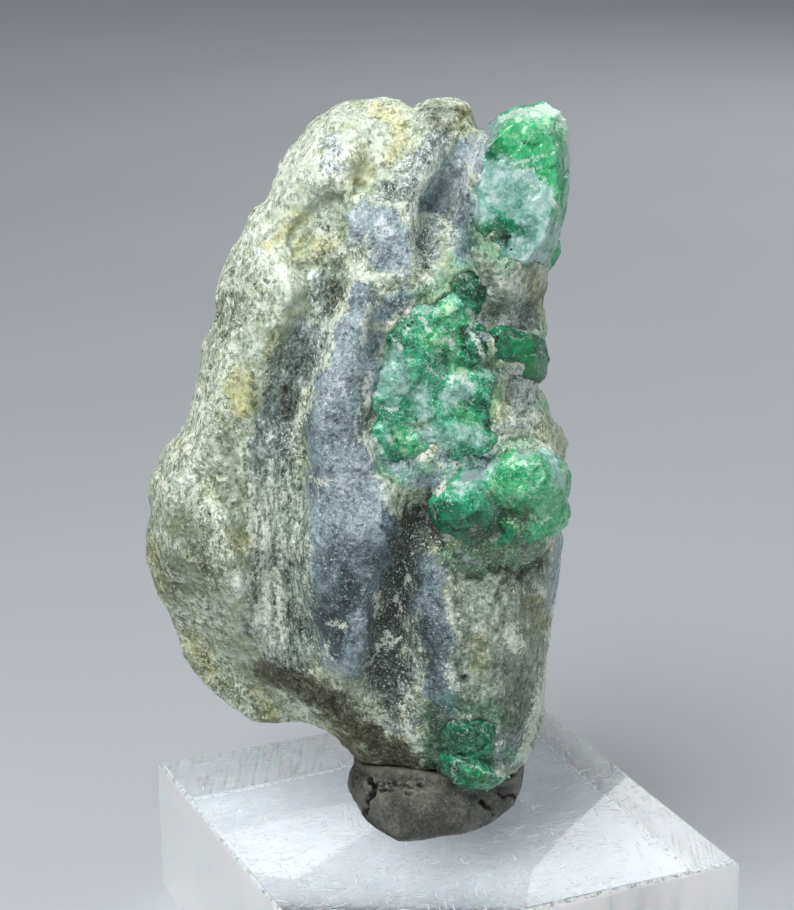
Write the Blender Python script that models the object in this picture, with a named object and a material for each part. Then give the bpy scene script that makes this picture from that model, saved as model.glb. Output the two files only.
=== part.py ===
"""Emerald in matrix: a slab of mica schist and quartz with emerald crystals grown in it.

The stone stands on its narrow end in a lump of mounting putty, on a block of clear acrylic.

Frame: metres, +Z up, the origin at the centre of the block's underside, X and Y along the block's
sides. The stone is drawn in its face frame, in millimetres: x across its broad face, z up and depth
away from the viewer, turned by FACE_TURN from the block. A point of the face plane keeps its place on
the line of sight from FACE_EYE at every depth, so the outline seen from there is the one drawn here.
"""

import math
import random

import bmesh
import bpy
import numpy as np
from mathutils import Vector, noise

MM = 0.001
SHARP_ANGLE = math.radians(28.0)  # an edge that turns more than this is a sharp one
GAP = 0.3  # clearance round each piece that sits in a pocket of another, mm

BLOCK_SIDE = 30.0
BLOCK_HEIGHT = 10.0
BLOCK_CORNER = 0.9  # rounding of the upright corners
BLOCK_EDGE = 0.35  # bevel along the top and bottom edges

FACE_TURN = math.radians(-24.3)  # the broad face is turned this far about Z from the block's front
FACE_EYE = (-2.65, -139.1, 79.9)

STONE_CENTRE = (-4.6, 35.0)
STONE_FRONT = 6.6  # height of the front dome above the face plane
STONE_BACK = 7.6
STONE_TRIANGLES = 4600
ROOM_TRIANGLES = 1800  # of the form that presses the putty
# The outline of the matrix, clockwise from the top of the schist lobe. The emeralds at the right-hand
# edge stand proud of it.
STONE_OUTLINE = [
    (-6.3, 58.7), (-3.8, 59.0), (-2.3, 58.8), (-1.7, 58.3), (-0.9, 58.8), (1.0, 59.0),
    (1.8, 58.7), (2.1, 57.9), (2.5, 56.8), (3.3, 57.6), (4.4, 57.2), (5.6, 57.4),
    (6.8, 56.6), (7.3, 54.0), (7.3, 51.5), (7.0, 48.6), (6.9, 46.7), (6.7, 45.8),
    (7.0, 45.2), (7.0, 44.0), (6.5, 42.8), (6.3, 41.2), (6.5, 40.2), (7.1, 39.4),
    (7.3, 38.3), (8.1, 37.4), (8.5, 36.4), (8.3, 35.0), (7.9, 33.4), (7.9, 31.6),
    (8.4, 29.7), (8.2, 27.7), (7.8, 24.7), (7.4, 21.1), (7.3, 18.9), (7.3, 17.3),
    (7.1, 15.7), (6.6, 14.3), (5.7, 13.1), (4.6, 12.1), (3.0, 11.5), (1.3, 11.3),
    (-0.4, 11.8), (-2.4, 12.4), (-4.8, 13.4), (-6.2, 14.6), (-7.2, 15.8), (-8.9, 16.6),
    (-10.6, 16.4), (-11.8, 16.3), (-13.0, 16.8), (-14.3, 18.0), (-15.6, 19.1), (-16.6, 20.4),
    (-17.2, 22.2), (-17.7, 23.9), (-18.6, 25.6), (-19.0, 27.0), (-19.2, 28.6), (-19.1, 30.4),
    (-18.9, 31.8), (-19.0, 33.2), (-18.7, 34.4), (-17.5, 36.4), (-16.7, 37.2), (-15.9, 39.5),
    (-15.4, 41.0), (-15.3, 42.7), (-14.3, 45.2), (-14.3, 46.2), (-14.0, 47.6), (-13.4, 48.9),
    (-12.2, 50.9), (-12.0, 51.6), (-10.9, 52.5), (-10.0, 54.8), (-9.4, 55.8), (-8.4, 56.9),
    (-7.5, 57.8),
]

# Ridges (height above zero) and grooves (below zero) of the front: a line, its half-width, its height.
FRONT_STROKES = [
    # the mica valley between the schist lobe and the quartz band
    ([(-6.6, 51.0), (-7.2, 47.5), (-8.2, 44.0), (-9.6, 40.5), (-10.4, 37.0), (-10.4, 33.0),
      (-10.3, 28.3), (-10.2, 24.0), (-9.8, 21.0)], 1.7, -1.5),
    # the dark mica seam between the quartz band and the lower right
    ([(-1.4, 32.2), (-1.4, 30.0), (-2.3, 27.4), (-3.0, 24.5), (-3.6, 21.5), (-3.4, 18.4)], 1.3, -1.8),
    # the cleft between the schist lobe and the top emerald
    ([(2.3, 57.2), (1.4, 55.4), (0.2, 53.6), (-0.6, 52.2), (0.0, 51.0)], 1.4, -1.9),
    # the notch between the two knobs at the top
    ([(-1.7, 59.0), (-1.9, 56.6), (-2.4, 54.6)], 0.7, -0.9),
    # the channel under the overhang of the lower left
    ([(-10.4, 19.2), (-7.8, 18.4), (-5.8, 16.7), (-3.8, 14.6), (-2.2, 13.2)], 1.0, -1.3),
    # the swelling of the lower right, and the furrows round the nodule
    ([(4.2, 25.5), (4.2, 21.5), (3.9, 17.8)], 2.4, 0.9),
    ([(0.2, 35.0), (-0.6, 32.8), (-0.4, 30.6), (0.3, 28.6)], 0.6, -0.9),
    ([(0.6, 27.4), (2.8, 26.6), (5.2, 26.5), (7.6, 27.2)], 0.7, -0.7),
    # the quartz swelling at the top and the vein of the lower right
    ([(-4.2, 51.4), (-3.0, 49.6), (-3.0, 48.6)], 1.5, 0.8),
    ([(-0.4, 27.0), (-0.2, 23.5), (0.6, 19.5)], 1.2, 0.7),
    # lumps of the schist lobe and of the two knobs at the top
    ([(-10.2, 47.0), (-12.6, 43.0), (-13.4, 38.5)], 1.9, 1.0),
    ([(-15.6, 33.5), (-15.2, 29.0), (-14.0, 23.5)], 2.4, 1.0),
    ([(-17.4, 30.0), (-16.9, 25.5)], 1.4, 0.7),
    ([(-7.6, 56.0), (-5.0, 55.6)], 2.0, 1.0),
    ([(-0.2, 57.4), (1.2, 57.6)], 1.1, 0.9),
]

# Raised blocks of the front: corners, height, and the width over which the edge rises.
FRONT_BLOCKS = [
    # the quartz band that runs down the middle
    ([(-5.4, 47.6), (-6.0, 46.0), (-6.2, 45.2), (-6.9, 44.6), (-6.9, 43.0), (-7.3, 41.6), (-8.4, 40.9),
      (-8.6, 39.2), (-9.0, 37.8), (-8.4, 36.5), (-8.4, 34.0), (-8.3, 31.0), (-7.9, 27.0), (-7.8, 23.0),
      (-7.4, 20.2), (-5.3, 19.4), (-4.4, 21.8), (-3.9, 24.5), (-3.6, 27.0), (-2.6, 29.0),
      (-2.4, 30.8), (-2.9, 32.4), (-3.8, 34.4), (-4.6, 36.2), (-4.9, 38.0), (-5.0, 41.0),
      (-4.7, 43.5), (-4.2, 45.5), (-4.1, 47.4)], 1.25, 0.9),
    # the grey foot under the top emerald, which overhangs the face below it
    ([(1.4, 49.4), (2.6, 48.0), (3.4, 46.6), (4.8, 45.4), (6.6, 45.7), (8.5, 48.0), (8.5, 49.6),
      (5.0, 49.0), (2.6, 50.4)], 1.9, 0.4),
    # the schist knob between the dark prism and the nodule
    ([(3.4, 41.1), (4.6, 41.8), (5.7, 41.4), (6.6, 40.2), (7.2, 39.0), (6.9, 37.6), (5.4, 37.1),
      (4.1, 37.3), (3.5, 38.6)], 1.4, 0.6),
]

# Broken faces: a point (x, z, height) and the slopes of the height along x and z. The stone lies below.
FRONT_FACES = [
    ((-7.6, 19.2, 6.2), (0.55, 1.15)),  # the undercut at the lower left
    ((-2.0, 13.9, 4.6), (0.95, 1.05)),
    ((7.0, 34.0, 3.9), (-1.3, 0.0)),  # the right-hand side
    ((5.5, 15.5, 4.4), (-0.8, 0.9)),
    ((-16.8, 41.0, 2.6), (0.75, -0.25)),  # the upper left shoulder
    ((-6.0, 57.6, 3.6), (0.0, -1.3)),
]
BACK_FACES = [
    ((-13.0, 46.0, 5.0), (0.6, -0.15)),
    ((3.5, 45.0, 6.0), (-0.75, -0.1)),
    ((-4.0, 54.5, 5.4), (0.1, -0.95)),
    ((-9.0, 19.5, 6.0), (0.35, 0.9)),
    ((3.5, 18.5, 5.2), (-0.55, 0.5)),
    ((-5.0, 35.0, 7.4), (-0.06, 0.03)),
]
BACK_STROKES = [
    ([(-9.5, 53.0), (-11.0, 44.0), (-12.0, 33.0), (-10.5, 23.0)], 1.6, -0.9),
    ([(1.5, 54.0), (0.5, 42.0), (1.5, 30.0), (0.5, 19.0)], 1.3, -0.8),
    ([(-5.0, 50.0), (-5.5, 38.0), (-4.5, 26.0)], 2.6, 0.9),
]


PLATE_SIZE = (4.2, 7.5)  # the usual breadth and length of a fracture plate
PLATE_STEP = 0.45
PLATE_TILT = 0.10
PLATE_SHARE = 0.75
PLATE_SEED = 4


def place(x, z, depth):
    """World points, in metres, of points of the face plane carried back along the line of sight."""
    x, z, depth = (np.atleast_1d(np.asarray(v, float)) for v in (x, z, depth))
    eye = np.array(FACE_EYE)
    drawn = np.stack(np.broadcast_arrays(x, 0.0, z), axis=-1)
    local = drawn + (drawn - eye) * (depth / -eye[1])[:, None]
    cosine, sine = math.cos(FACE_TURN), math.sin(FACE_TURN)
    turn = np.array([[cosine, -sine, 0.0], [sine, cosine, 0.0], [0.0, 0.0, 1.0]])
    return local @ turn.T * MM


def distance_to_line(x, z, line):
    """The distance of each point from a line through the given points."""
    nearest = np.full(len(x), np.inf)
    for (ax, az), (bx, bz) in zip(line, line[1:]):
        run = (bx - ax) ** 2 + (bz - az) ** 2
        along = np.clip(((x - ax) * (bx - ax) + (z - az) * (bz - az)) / run, 0.0, 1.0)
        nearest = np.minimum(nearest, np.hypot(x - ax - along * (bx - ax), z - az - along * (bz - az)))
    return nearest


def is_inside(x, z, corners):
    """Which points lie inside a polygon."""
    inside = np.zeros(len(x), bool)
    for (ax, az), (bx, bz) in zip(corners, corners[1:] + corners[:1]):
        if az == bz:
            continue
        crosses = (az > z) != (bz > z)
        inside ^= crosses & (x < ax + (z - az) * (bx - ax) / (bz - az))
    return inside


def smooth(t):
    """An easing from 0 to 1."""
    t = np.clip(t, 0.0, 1.0)
    return t * t * (3.0 - 2.0 * t)


def stroke_height(x, z, strokes):
    """The summed height of ridges and grooves, each a smooth swelling along its line."""
    height = np.zeros(len(x))
    for line, half_width, rise in strokes:
        height += rise * smooth(1.0 - distance_to_line(x, z, line) / (1.6 * half_width))
    return height


def block_height(x, z, blocks):
    """The summed height of raised blocks with steep edges."""
    height = np.zeros(len(x))
    for corners, rise, edge in blocks:
        away = distance_to_line(x, z, corners + corners[:1])
        signed = np.where(is_inside(x, z, corners), away, -away)
        height += rise * smooth(0.5 + signed / edge)
    return height


def cut_by_faces(x, z, height, faces):
    """The height, kept under each broken face."""
    for (px, pz, top), (slope_x, slope_z) in faces:
        height = np.minimum(height, top + slope_x * (x - px) + slope_z * (z - pz))
    return height


def grain(x, y, z, size, stretch=1.0):
    """Smooth noise with lumps of the given size, drawn out along z by stretch."""
    return np.array([
        noise.noise(Vector((a, b, c))) for a, b, c in zip(x / size, y / size, z / (size * stretch))
    ])


def new_object(name, mesh_maker, material):
    """An object whose mesh comes from a bmesh that mesh_maker fills."""
    mesh = bpy.data.meshes.new(name)
    shape = bmesh.new()
    mesh_maker(shape)
    bmesh.ops.recalc_face_normals(shape, faces=shape.faces)
    shape.to_mesh(mesh)
    shape.free()
    obj = bpy.data.objects.new(name, mesh)
    bpy.context.scene.collection.objects.link(obj)
    mesh.materials.append(material)
    return obj


def helper(obj):
    """Marks a cutter, which isn't a piece of the object."""
    obj.hide_render = True
    obj.display_type = "WIRE"
    return obj


def combine(obj, operation, others):
    """A Boolean of obj with the other objects, applied to its mesh."""
    for other in others:
        modifier = obj.modifiers.new(operation.title(), "BOOLEAN")
        modifier.operation = operation
        modifier.solver = "EXACT"
        modifier.object = other
    apply_modifiers(obj)


def apply_modifiers(obj):
    """Gives obj the mesh that its modifiers make, and removes them."""
    graph = bpy.context.evaluated_depsgraph_get()
    made = bpy.data.meshes.new_from_object(obj.evaluated_get(graph))
    obj.modifiers.clear()
    obj.data = made


def finish_mesh(obj, weld=1e-6):
    """Welds doubled points, drops loose crumbs that a Boolean left, and keeps the largest closed body."""
    shape = bmesh.new()
    shape.from_mesh(obj.data)
    bmesh.ops.remove_doubles(shape, verts=shape.verts, dist=weld)
    bmesh.ops.triangulate(shape, faces=shape.faces)
    bodies = []
    waiting = set(shape.faces)
    while waiting:
        body, edge_of_body = set(), [waiting.pop()]
        while edge_of_body:
            face = edge_of_body.pop()
            body.add(face)
            for edge in face.edges:
                for neighbour in edge.link_faces:
                    if neighbour in waiting:
                        waiting.discard(neighbour)
                        edge_of_body.append(neighbour)
        bodies.append(body)
    largest = max(bodies, key=len)
    crumbs = [face for body in bodies if body is not largest for face in body]
    bmesh.ops.delete(shape, geom=crumbs, context="FACES")
    shape.to_mesh(obj.data)
    shape.free()
    obj.data.shade_smooth()
    obj.data.set_sharp_from_angle(angle=SHARP_ANGLE)


def material(name, colour, roughness, transmission=0.0, ior=1.5):
    """A Principled material of one colour."""
    made = bpy.data.materials.new(name)
    made.use_nodes = True
    shader = made.node_tree.nodes["Principled BSDF"]
    shader.inputs["Base Color"].default_value = (*colour, 1.0)
    shader.inputs["Roughness"].default_value = roughness
    shader.inputs["Metallic"].default_value = 0.0
    shader.inputs["Transmission Weight"].default_value = transmission
    shader.inputs["IOR"].default_value = ior
    made.diffuse_color = (*colour, 1.0)
    return made


def outline_spokes(outline, centre, between):
    """Points round an outline: its corners and some between them."""
    spokes = []
    for (ax, az), (bx, bz) in zip(outline, outline[1:] + outline[:1]):
        for step in range(between):
            share = step / between
            spokes.append((ax + share * (bx - ax) - centre[0], az + share * (bz - az) - centre[1]))
    return np.array(spokes)


def closed_shell(shape, layers):
    """Faces of a closed shell from a stack of rings, each with the same number of points, and two poles."""
    rings = [[shape.verts.new(point) for point in layer] for layer in layers]
    for lower, upper in zip(rings, rings[1:]):
        if len(lower) == 1 or len(upper) == 1:
            pole, ring = (lower, upper) if len(lower) == 1 else (upper, lower)
            for a, b in zip(ring, ring[1:] + ring[:1]):
                shape.faces.new((pole[0], a, b))
        else:
            for i in range(len(lower)):
                j = (i + 1) % len(lower)
                shape.faces.new((lower[i], lower[j], upper[j], upper[i]))


def rim_share(x, z):
    """How far out towards the outline each point is, from 0 at the centre to 1 at the outline."""
    spokes = outline_spokes(STONE_OUTLINE, STONE_CENTRE, 1)
    angles = np.arctan2(spokes[:, 1], spokes[:, 0])
    order = np.argsort(angles)
    x, z = x - STONE_CENTRE[0], z - STONE_CENTRE[1]
    reach = np.interp(
        np.arctan2(z, x), angles[order], np.hypot(spokes[:, 0], spokes[:, 1])[order], period=2.0 * math.pi
    )
    return np.clip(np.hypot(x, z) / reach, 0.0, 1.0)


def smooth_height(x, z, rim, front):
    """The stone's height above the face plane before it is broken into plates."""
    dome = np.sqrt(np.clip(1.0 - rim**3.4, 0.0, 1.0))
    thick = STONE_FRONT if front else STONE_BACK
    height = thick * dome + smooth((1.0 - rim) / 0.12) * stroke_height(
        x, z, FRONT_STROKES if front else BACK_STROKES
    )
    return cut_by_faces(x, z, height, FRONT_FACES if front else BACK_FACES)


def front_height(x, z):
    """The height of the front at any points of the face."""
    return smooth_height(x, z, rim_share(x, z), True) + block_height(x, z, FRONT_BLOCKS)


def plate_height(x, z, front):
    """The height of the flat fracture plates, longer along the foliation than across it."""
    dice = random.Random(PLATE_SEED + int(front))
    low_x, high_x = min(x for x, _ in STONE_OUTLINE), max(x for x, _ in STONE_OUTLINE)
    low_z, high_z = min(z for _, z in STONE_OUTLINE), max(z for _, z in STONE_OUTLINE)
    step_x, step_z = PLATE_SIZE
    seeds = []
    for row in range(int((high_z - low_z) / step_z) + 2):
        for column in range(int((high_x - low_x) / step_x) + 2):
            seeds.append((
                low_x + (column + dice.uniform(-0.4, 0.4)) * step_x,
                low_z + (row + dice.uniform(-0.4, 0.4)) * step_z,
                dice.uniform(-1.0, 1.0) * PLATE_STEP,
                dice.uniform(-1.0, 1.0) * PLATE_TILT,
                dice.uniform(-1.0, 1.0) * PLATE_TILT,
            ))
    sx, sz, step, tilt_x, tilt_z = np.array(seeds).T
    share = rim_share(sx, sz) * 0.94
    reach = 0.5
    level = smooth_height(sx, sz, share, front)
    slope_x = (smooth_height(sx + reach, sz, rim_share(sx + reach, sz) * 0.94, front) - level) / reach
    slope_z = (smooth_height(sx, sz + reach, rim_share(sx, sz + reach) * 0.94, front) - level) / reach
    warp = grain(x, x * 0.0 + 5.0, z, 4.0)
    across = (x + 0.9 * warp)[:, None] - sx
    up = (z + 1.6 * warp)[:, None] - sz
    near = np.argmin((across / step_x) ** 2 + (up / step_z) ** 2, axis=1)
    return (
        level[near] + step[near]
        + np.clip(slope_x[near], -1.2, 1.2) * (x - sx[near]) + tilt_x[near] * (x - sx[near])
        + np.clip(slope_z[near], -1.2, 1.2) * (z - sz[near]) + tilt_z[near] * (z - sz[near])
    )


def stone_side(x, z, rim, front):
    """The stone's height above the face plane at points a share rim of the way out to the outline."""
    height = smooth_height(x, z, rim, front)
    plates = plate_height(x, z, front)
    plates = np.clip(plates, height - 1.6, height + 0.6)
    inner = smooth((1.0 - rim) / 0.10)
    height = height + PLATE_SHARE * inner * (plates - height)
    side = -1.0 if front else 1.0
    rough = (
        0.55 * grain(x, side * height, z, 5.5)
        + 0.45 * grain(x + 31.0, side * height, z, 2.3, 1.8)
        + 0.35 * grain(x - 17.0, side * height, z, 1.1, 3.2)
        + 0.20 * grain(x, side * height + 9.0, z, 0.7, 1.3)
    )
    height = height + rough * (0.35 + 0.65 * inner)
    limit = cut_by_faces(x, z, np.full(len(x), 99.0), FRONT_FACES if front else BACK_FACES)
    height = np.minimum(height, limit + 0.45 * rough)
    if front:
        height = height + block_height(x, z, FRONT_BLOCKS + [(MASS_OUTLINE, -MASS_SINK, 1.0)])
    return np.maximum(height, 0.25) * smooth((1.0 - rim) / 0.02 + 0.1)


def stone_shell(shape, grow=0.0):
    """The whole stone, a front and a back dome that meet at the outline."""
    spokes = outline_spokes(STONE_OUTLINE, STONE_CENTRE, 3)
    reach = np.hypot(spokes[:, 0], spokes[:, 1])
    spokes = spokes * (1.0 + grow / reach)[:, None]
    rings = 44
    layers = []
    for ring in range(-rings, rings + 1):
        rim = 1.0 - abs(ring) / rings
        rim = math.sin(rim * math.pi / 2.0) ** 0.85
        if ring == -rings or ring == rings:
            x, z = (np.array([STONE_CENTRE[axis]]) for axis in (0, 1))
        else:
            x, z = (STONE_CENTRE[axis] + spokes[:, axis] * rim for axis in (0, 1))
        rims = np.full(len(x), 0.0 if len(x) == 1 else rim)
        if ring == 0:
            depth = np.zeros(len(x))
        elif ring < 0:
            depth = -stone_side(x, z, rims, True) - grow
        else:
            depth = stone_side(x, z, rims, False) + grow
        layers.append(place(x, z, depth))
    closed_shell(shape, layers)


def thin_out(obj, triangles):
    """Collapses edges until the object has about that many triangles."""
    modifier = obj.modifiers.new("Thin out", "DECIMATE")
    modifier.ratio = triangles / (2.0 * len(obj.data.polygons))
    modifier.use_collapse_triangulate = True
    apply_modifiers(obj)


def facets(shape, corners, grow=0.0):
    """A crystal with flat faces: the convex form of corners (x, z, depth) in the face frame."""
    points = np.array(corners, float)
    middle = (points.min(axis=0) + points.max(axis=0)) / 2.0
    half = np.ptp(points, axis=0) / 2.0
    points = middle + (points - middle) * (1.0 + 1.4 * grow / half)
    verts = [shape.verts.new(point) for point in place(*points.T)]
    made = bmesh.ops.convex_hull(shape, input=verts)
    inner = {item for item in made["geom_interior"] if isinstance(item, bmesh.types.BMVert)}
    bmesh.ops.delete(shape, geom=list(inner), context="VERTS")


def lobe(shape, centre, radii, finer=2, grow=0.0):
    """A rounded crystal knob at (x, z, depth) in the face frame, with its radii across, up and deep."""
    made = bmesh.ops.create_icosphere(shape, subdivisions=finer, radius=1.0)
    points = np.array([v.co for v in made["verts"]])
    lumpy = 1.0 + 0.05 * np.array([noise.noise(Vector(p) * 1.7 + Vector(centre)) for p in points])
    points = points * lumpy[:, None]
    across, up, deep = (radius + grow for radius in radii)
    moved = place(
        centre[0] + points[:, 0] * across, centre[1] + points[:, 2] * up, centre[2] + points[:, 1] * deep
    )
    for vert, co in zip(made["verts"], moved):
        vert.co = co


# Each emerald is a list of shapes grown together: convex crystals (their corners) and lobes (centre,
# radii, fineness), in the face frame.
TOP_CRYSTAL = [
    ("facets", [
        (2.0, 56.0, -2.4), (3.6, 57.9, -2.2), (5.1, 58.5, -2.0), (6.5, 58.6, -2.0), (7.6, 58.1, -2.2),
        (8.1, 56.9, -2.4), (8.3, 54.2, -2.6), (8.1, 52.0, -2.8), (7.7, 50.2, -3.0), (6.9, 48.2, -3.2),
        (5.4, 47.0, -3.4), (2.6, 47.9, -3.4), (1.4, 49.8, -3.2), (1.4, 53.0, -2.8),
        (3.0, 55.9, -6.2), (4.6, 57.3, -5.6), (6.6, 57.2, -5.3), (7.4, 55.6, -5.5), (7.5, 52.8, -6.0),
        (6.7, 50.0, -6.9), (5.6, 48.5, -7.2), (3.5, 48.7, -7.3), (2.6, 50.6, -7.1), (2.6, 53.2, -6.7),
        (3.5, 56.4, 0.6), (6.8, 57.0, 0.8), (7.6, 54.0, 0.6), (7.0, 50.0, 0.2), (5.0, 48.6, 0.0),
        (3.0, 50.0, 0.2),
    ]),
]
EDGE_CHIP = [
    ("facets", [
        (6.4, 50.4, 1.2), (7.4, 50.5, 1.4), (7.7, 49.9, 1.8), (7.7, 48.9, 1.9), (7.3, 48.1, 1.7),
        (6.5, 48.1, 1.3), (6.2, 49.2, 2.6), (7.3, 49.6, 2.7), (7.2, 48.7, 2.6), (6.6, 49.3, 0.6),
    ]),
]
DARK_PRISM = [
    ("facets", [
        (3.1, 43.9, -6.5), (4.0, 44.4, -6.5), (6.0, 43.9, -5.4), (6.9, 43.4, -4.2), (7.2, 42.0, -4.0),
        (7.1, 40.9, -3.6), (6.6, 40.4, -4.0), (5.8, 41.1, -5.2), (4.2, 41.5, -6.4), (3.5, 42.4, -6.7),
        (4.2, 43.4, -7.4), (6.0, 43.0, -6.4), (6.2, 41.9, -6.2), (4.4, 42.2, -7.3),
        (3.4, 43.6, -3.0), (6.4, 43.2, -2.4), (6.6, 41.2, -2.4), (4.0, 41.8, -3.0),
    ]),
]
TIP_CRYSTAL = [
    ("facets", [
        (0.1, 14.3, -4.2), (0.4, 12.7, -4.4), (2.0, 11.6, -4.6), (3.7, 11.4, -4.6), (5.2, 12.4, -4.2),
        (4.3, 13.6, -4.6), (2.2, 14.6, -5.0), (1.0, 13.6, -5.9), (2.3, 12.3, -6.2), (3.6, 12.6, -6.0),
        (2.1, 13.9, -6.2), (1.0, 14.0, -2.6), (4.4, 13.2, -2.6), (2.6, 12.0, -2.8),
    ]),
    ("lobe", (2.8, 15.5, -4.2), (2.6, 2.4, 2.3), 2),
]
NODULE = [
    ("lobe", (1.9, 32.1, -5.6), (2.3, 2.6, 2.5), 3),
    ("lobe", (5.6, 33.7, -4.6), (3.0, 2.7, 3.2), 3),
    ("lobe", (7.1, 31.6, -4.0), (1.6, 1.6, 2.2), 2),
    ("lobe", (5.2, 30.2, -4.6), (2.3, 2.1, 2.4), 2),
    ("lobe", (3.0, 29.0, -4.9), (3.0, 2.0, 2.1), 2),
]

# The emerald mass in the middle: an outline filled with interlocking grains.
MASS_OUTLINE = [
    (-3.7, 44.0), (-2.7, 45.5), (-1.2, 46.1), (-0.2, 46.7), (0.9, 47.3), (2.1, 47.8), (2.8, 47.4),
    (3.1, 46.4), (2.4, 45.0), (2.7, 43.6), (3.6, 41.8), (3.4, 40.0), (3.8, 38.2), (3.4, 37.2),
    (1.2, 36.4), (-0.2, 35.8), (-1.5, 35.6), (-2.2, 34.4), (-3.2, 34.1), (-4.0, 35.2), (-4.3, 37.0),
    (-4.2, 39.0), (-4.1, 41.0), (-4.0, 42.6),
]
MASS_STEP = 2.0
MASS_GRAIN = (1.25, 1.75)  # smallest and largest radius of a grain
MASS_RISE = 0.25  # how far a grain stands proud of the stone round the mass
MASS_SINK = 0.9  # how far the stone lies back among the grains
MASS_ROOT = 2.2
MASS_BED = (0.7, 2.0)  # the depths, below the stone's face, between which one bed joins the grains
MASS_SEED = 11


def grains_of_mass():
    """The grains of the middle emerald, on a jittered grid inside its outline."""
    dice = random.Random(MASS_SEED)
    low_x, high_x = min(x for x, _ in MASS_OUTLINE), max(x for x, _ in MASS_OUTLINE)
    low_z, high_z = min(z for _, z in MASS_OUTLINE), max(z for _, z in MASS_OUTLINE)
    middle = (low_z + high_z) / 2.0
    grains = [
        ("facets", bed_corners([point for point in MASS_OUTLINE if point[1] > middle - 1.5])),
        ("facets", bed_corners([point for point in MASS_OUTLINE if point[1] < middle + 1.5])),
    ]
    for row in range(int((high_z - low_z) / MASS_STEP) + 1):
        for column in range(int((high_x - low_x) / MASS_STEP) + 1):
            x = low_x + (column + 0.5 * (row % 2)) * MASS_STEP + dice.uniform(-0.4, 0.4)
            z = low_z + (row + 0.3) * MASS_STEP + dice.uniform(-0.4, 0.4)
            if is_inside(np.array([x]), np.array([z]), MASS_OUTLINE)[0]:
                grains.append(("facets", grain_corners(dice, x, z, dice.uniform(*MASS_GRAIN))))
    return grains


def bed_corners(outline):
    """The corners of a flat bed under part of the outline, drawn in a little from it."""
    x, z = np.array(outline).T
    x, z = x.mean() + 0.8 * (x - x.mean()), z.mean() + 0.8 * (z - z.mean())
    depth = -front_height(x, z)
    return [(a, b, c + level) for level in MASS_BED for a, b, c in zip(x, z, depth)]


def grain_corners(dice, x, z, radius):
    """The corners of one grain: a waist level with the stone, a small tilted cap and a root."""
    depth = -float(front_height(np.array([x]), np.array([z]))[0])
    start = dice.uniform(0.0, 360.0)
    tilt = (dice.uniform(-0.35, 0.35), dice.uniform(-0.35, 0.35))
    corners = []
    for sides, share, level in ((6, 1.0, 0.1), (4, 0.6, -MASS_RISE), (4, 0.75, MASS_ROOT)):
        for side in range(sides):
            angle = math.radians(start + 360.0 * side / sides + dice.uniform(-14.0, 14.0))
            across = share * radius * math.cos(angle) * dice.uniform(0.85, 1.1)
            up = share * radius * math.sin(angle) * dice.uniform(0.85, 1.1)
            corners.append((x + across, z + up, depth + level + tilt[0] * across + tilt[1] * up))
    return corners


def grown(name, shapes, finish, grow=0.0):
    """One solid of shapes grown together, larger all round by grow."""
    parts = []
    for number, (kind, *facts) in enumerate(shapes):
        maker = facets if kind == "facets" else lobe
        parts.append(new_object(
            name if number == 0 else f"{name}_grain_{number}",
            lambda shape, maker=maker, facts=facts: maker(shape, *facts, grow=grow),
            finish,
        ))
    body, rest = parts[0], parts[1:]
    if rest:
        combine(body, "UNION", rest)
    for part in rest:
        bpy.data.objects.remove(part)
    finish_mesh(body)
    return body


# The putty's footprint on the block, in the face frame: x across and depth.
PUTTY_OUTLINE = [
    (-5.9, 1.2), (-5.5, -1.2), (-4.5, -3.4), (-2.8, -5.4), (-0.6, -4.9), (1.8, -4.3), (4.2, -2.4),
    (5.8, 0.4), (6.3, 3.0), (5.0, 5.6), (2.4, 6.8), (-0.6, 6.6), (-3.4, 5.6), (-5.2, 3.6),
]
PUTTY_HEIGHT = 4.0


def putty_shell(shape):
    """A thumbed lump: a footprint, a bulging side and a top that rises towards the stone."""
    spokes = outline_spokes(PUTTY_OUTLINE, (0.0, 0.0), 2)
    foot = BLOCK_HEIGHT + GAP
    profile = [
        (0.90, 0.0), (0.98, 0.35), (1.01, 1.0), (0.99, 1.8), (0.94, 2.5), (0.84, 3.15), (0.68, 3.6),
        (0.38, PUTTY_HEIGHT),
    ]
    cosine, sine = math.cos(FACE_TURN), math.sin(FACE_TURN)

    def ring(share, height):
        points = []
        for sx, sy in spokes * share:
            dent = 1.0 + 0.05 * noise.noise(Vector((sx, sy, height)) * 0.45)
            x, y = sx * dent, sy * dent
            lift = 0.25 * noise.noise(Vector((sx, sy, 4.0)) * 0.4) * height / PUTTY_HEIGHT
            points.append(Vector((cosine * x - sine * y, sine * x + cosine * y, foot + height + lift)) * MM)
        return points

    layers = [[Vector((0.0, 0.0, foot)) * MM]]
    layers += [ring(share, height) for share, height in profile]
    layers += [[Vector((0.0, 0.0, foot + PUTTY_HEIGHT + 0.05)) * MM]]
    closed_shell(shape, layers)


def block_shell(shape):
    """The acrylic block, its upright corners rounded more than its other edges."""
    bmesh.ops.create_cube(shape, size=1.0)
    size = Vector((BLOCK_SIDE, BLOCK_SIDE, BLOCK_HEIGHT)) * MM
    bmesh.ops.scale(shape, vec=size, verts=shape.verts)
    bmesh.ops.translate(shape, vec=(0.0, 0.0, size.z / 2.0), verts=shape.verts)
    upright = [e for e in shape.edges if abs(e.verts[0].co.z - e.verts[1].co.z) > size.z / 2.0]
    bmesh.ops.bevel(
        shape, geom=upright, offset=BLOCK_CORNER * MM, segments=3, profile=0.5, affect="EDGES"
    )
    level = [
        e for e in shape.edges
        if abs(e.verts[0].co.z - e.verts[1].co.z) < size.z / 100.0 and len(e.link_faces) == 2
        and abs(e.link_faces[0].normal.z - e.link_faces[1].normal.z) > 0.5
    ]
    bmesh.ops.bevel(shape, geom=level, offset=BLOCK_EDGE * MM, segments=1, profile=0.5, affect="EDGES")


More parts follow.
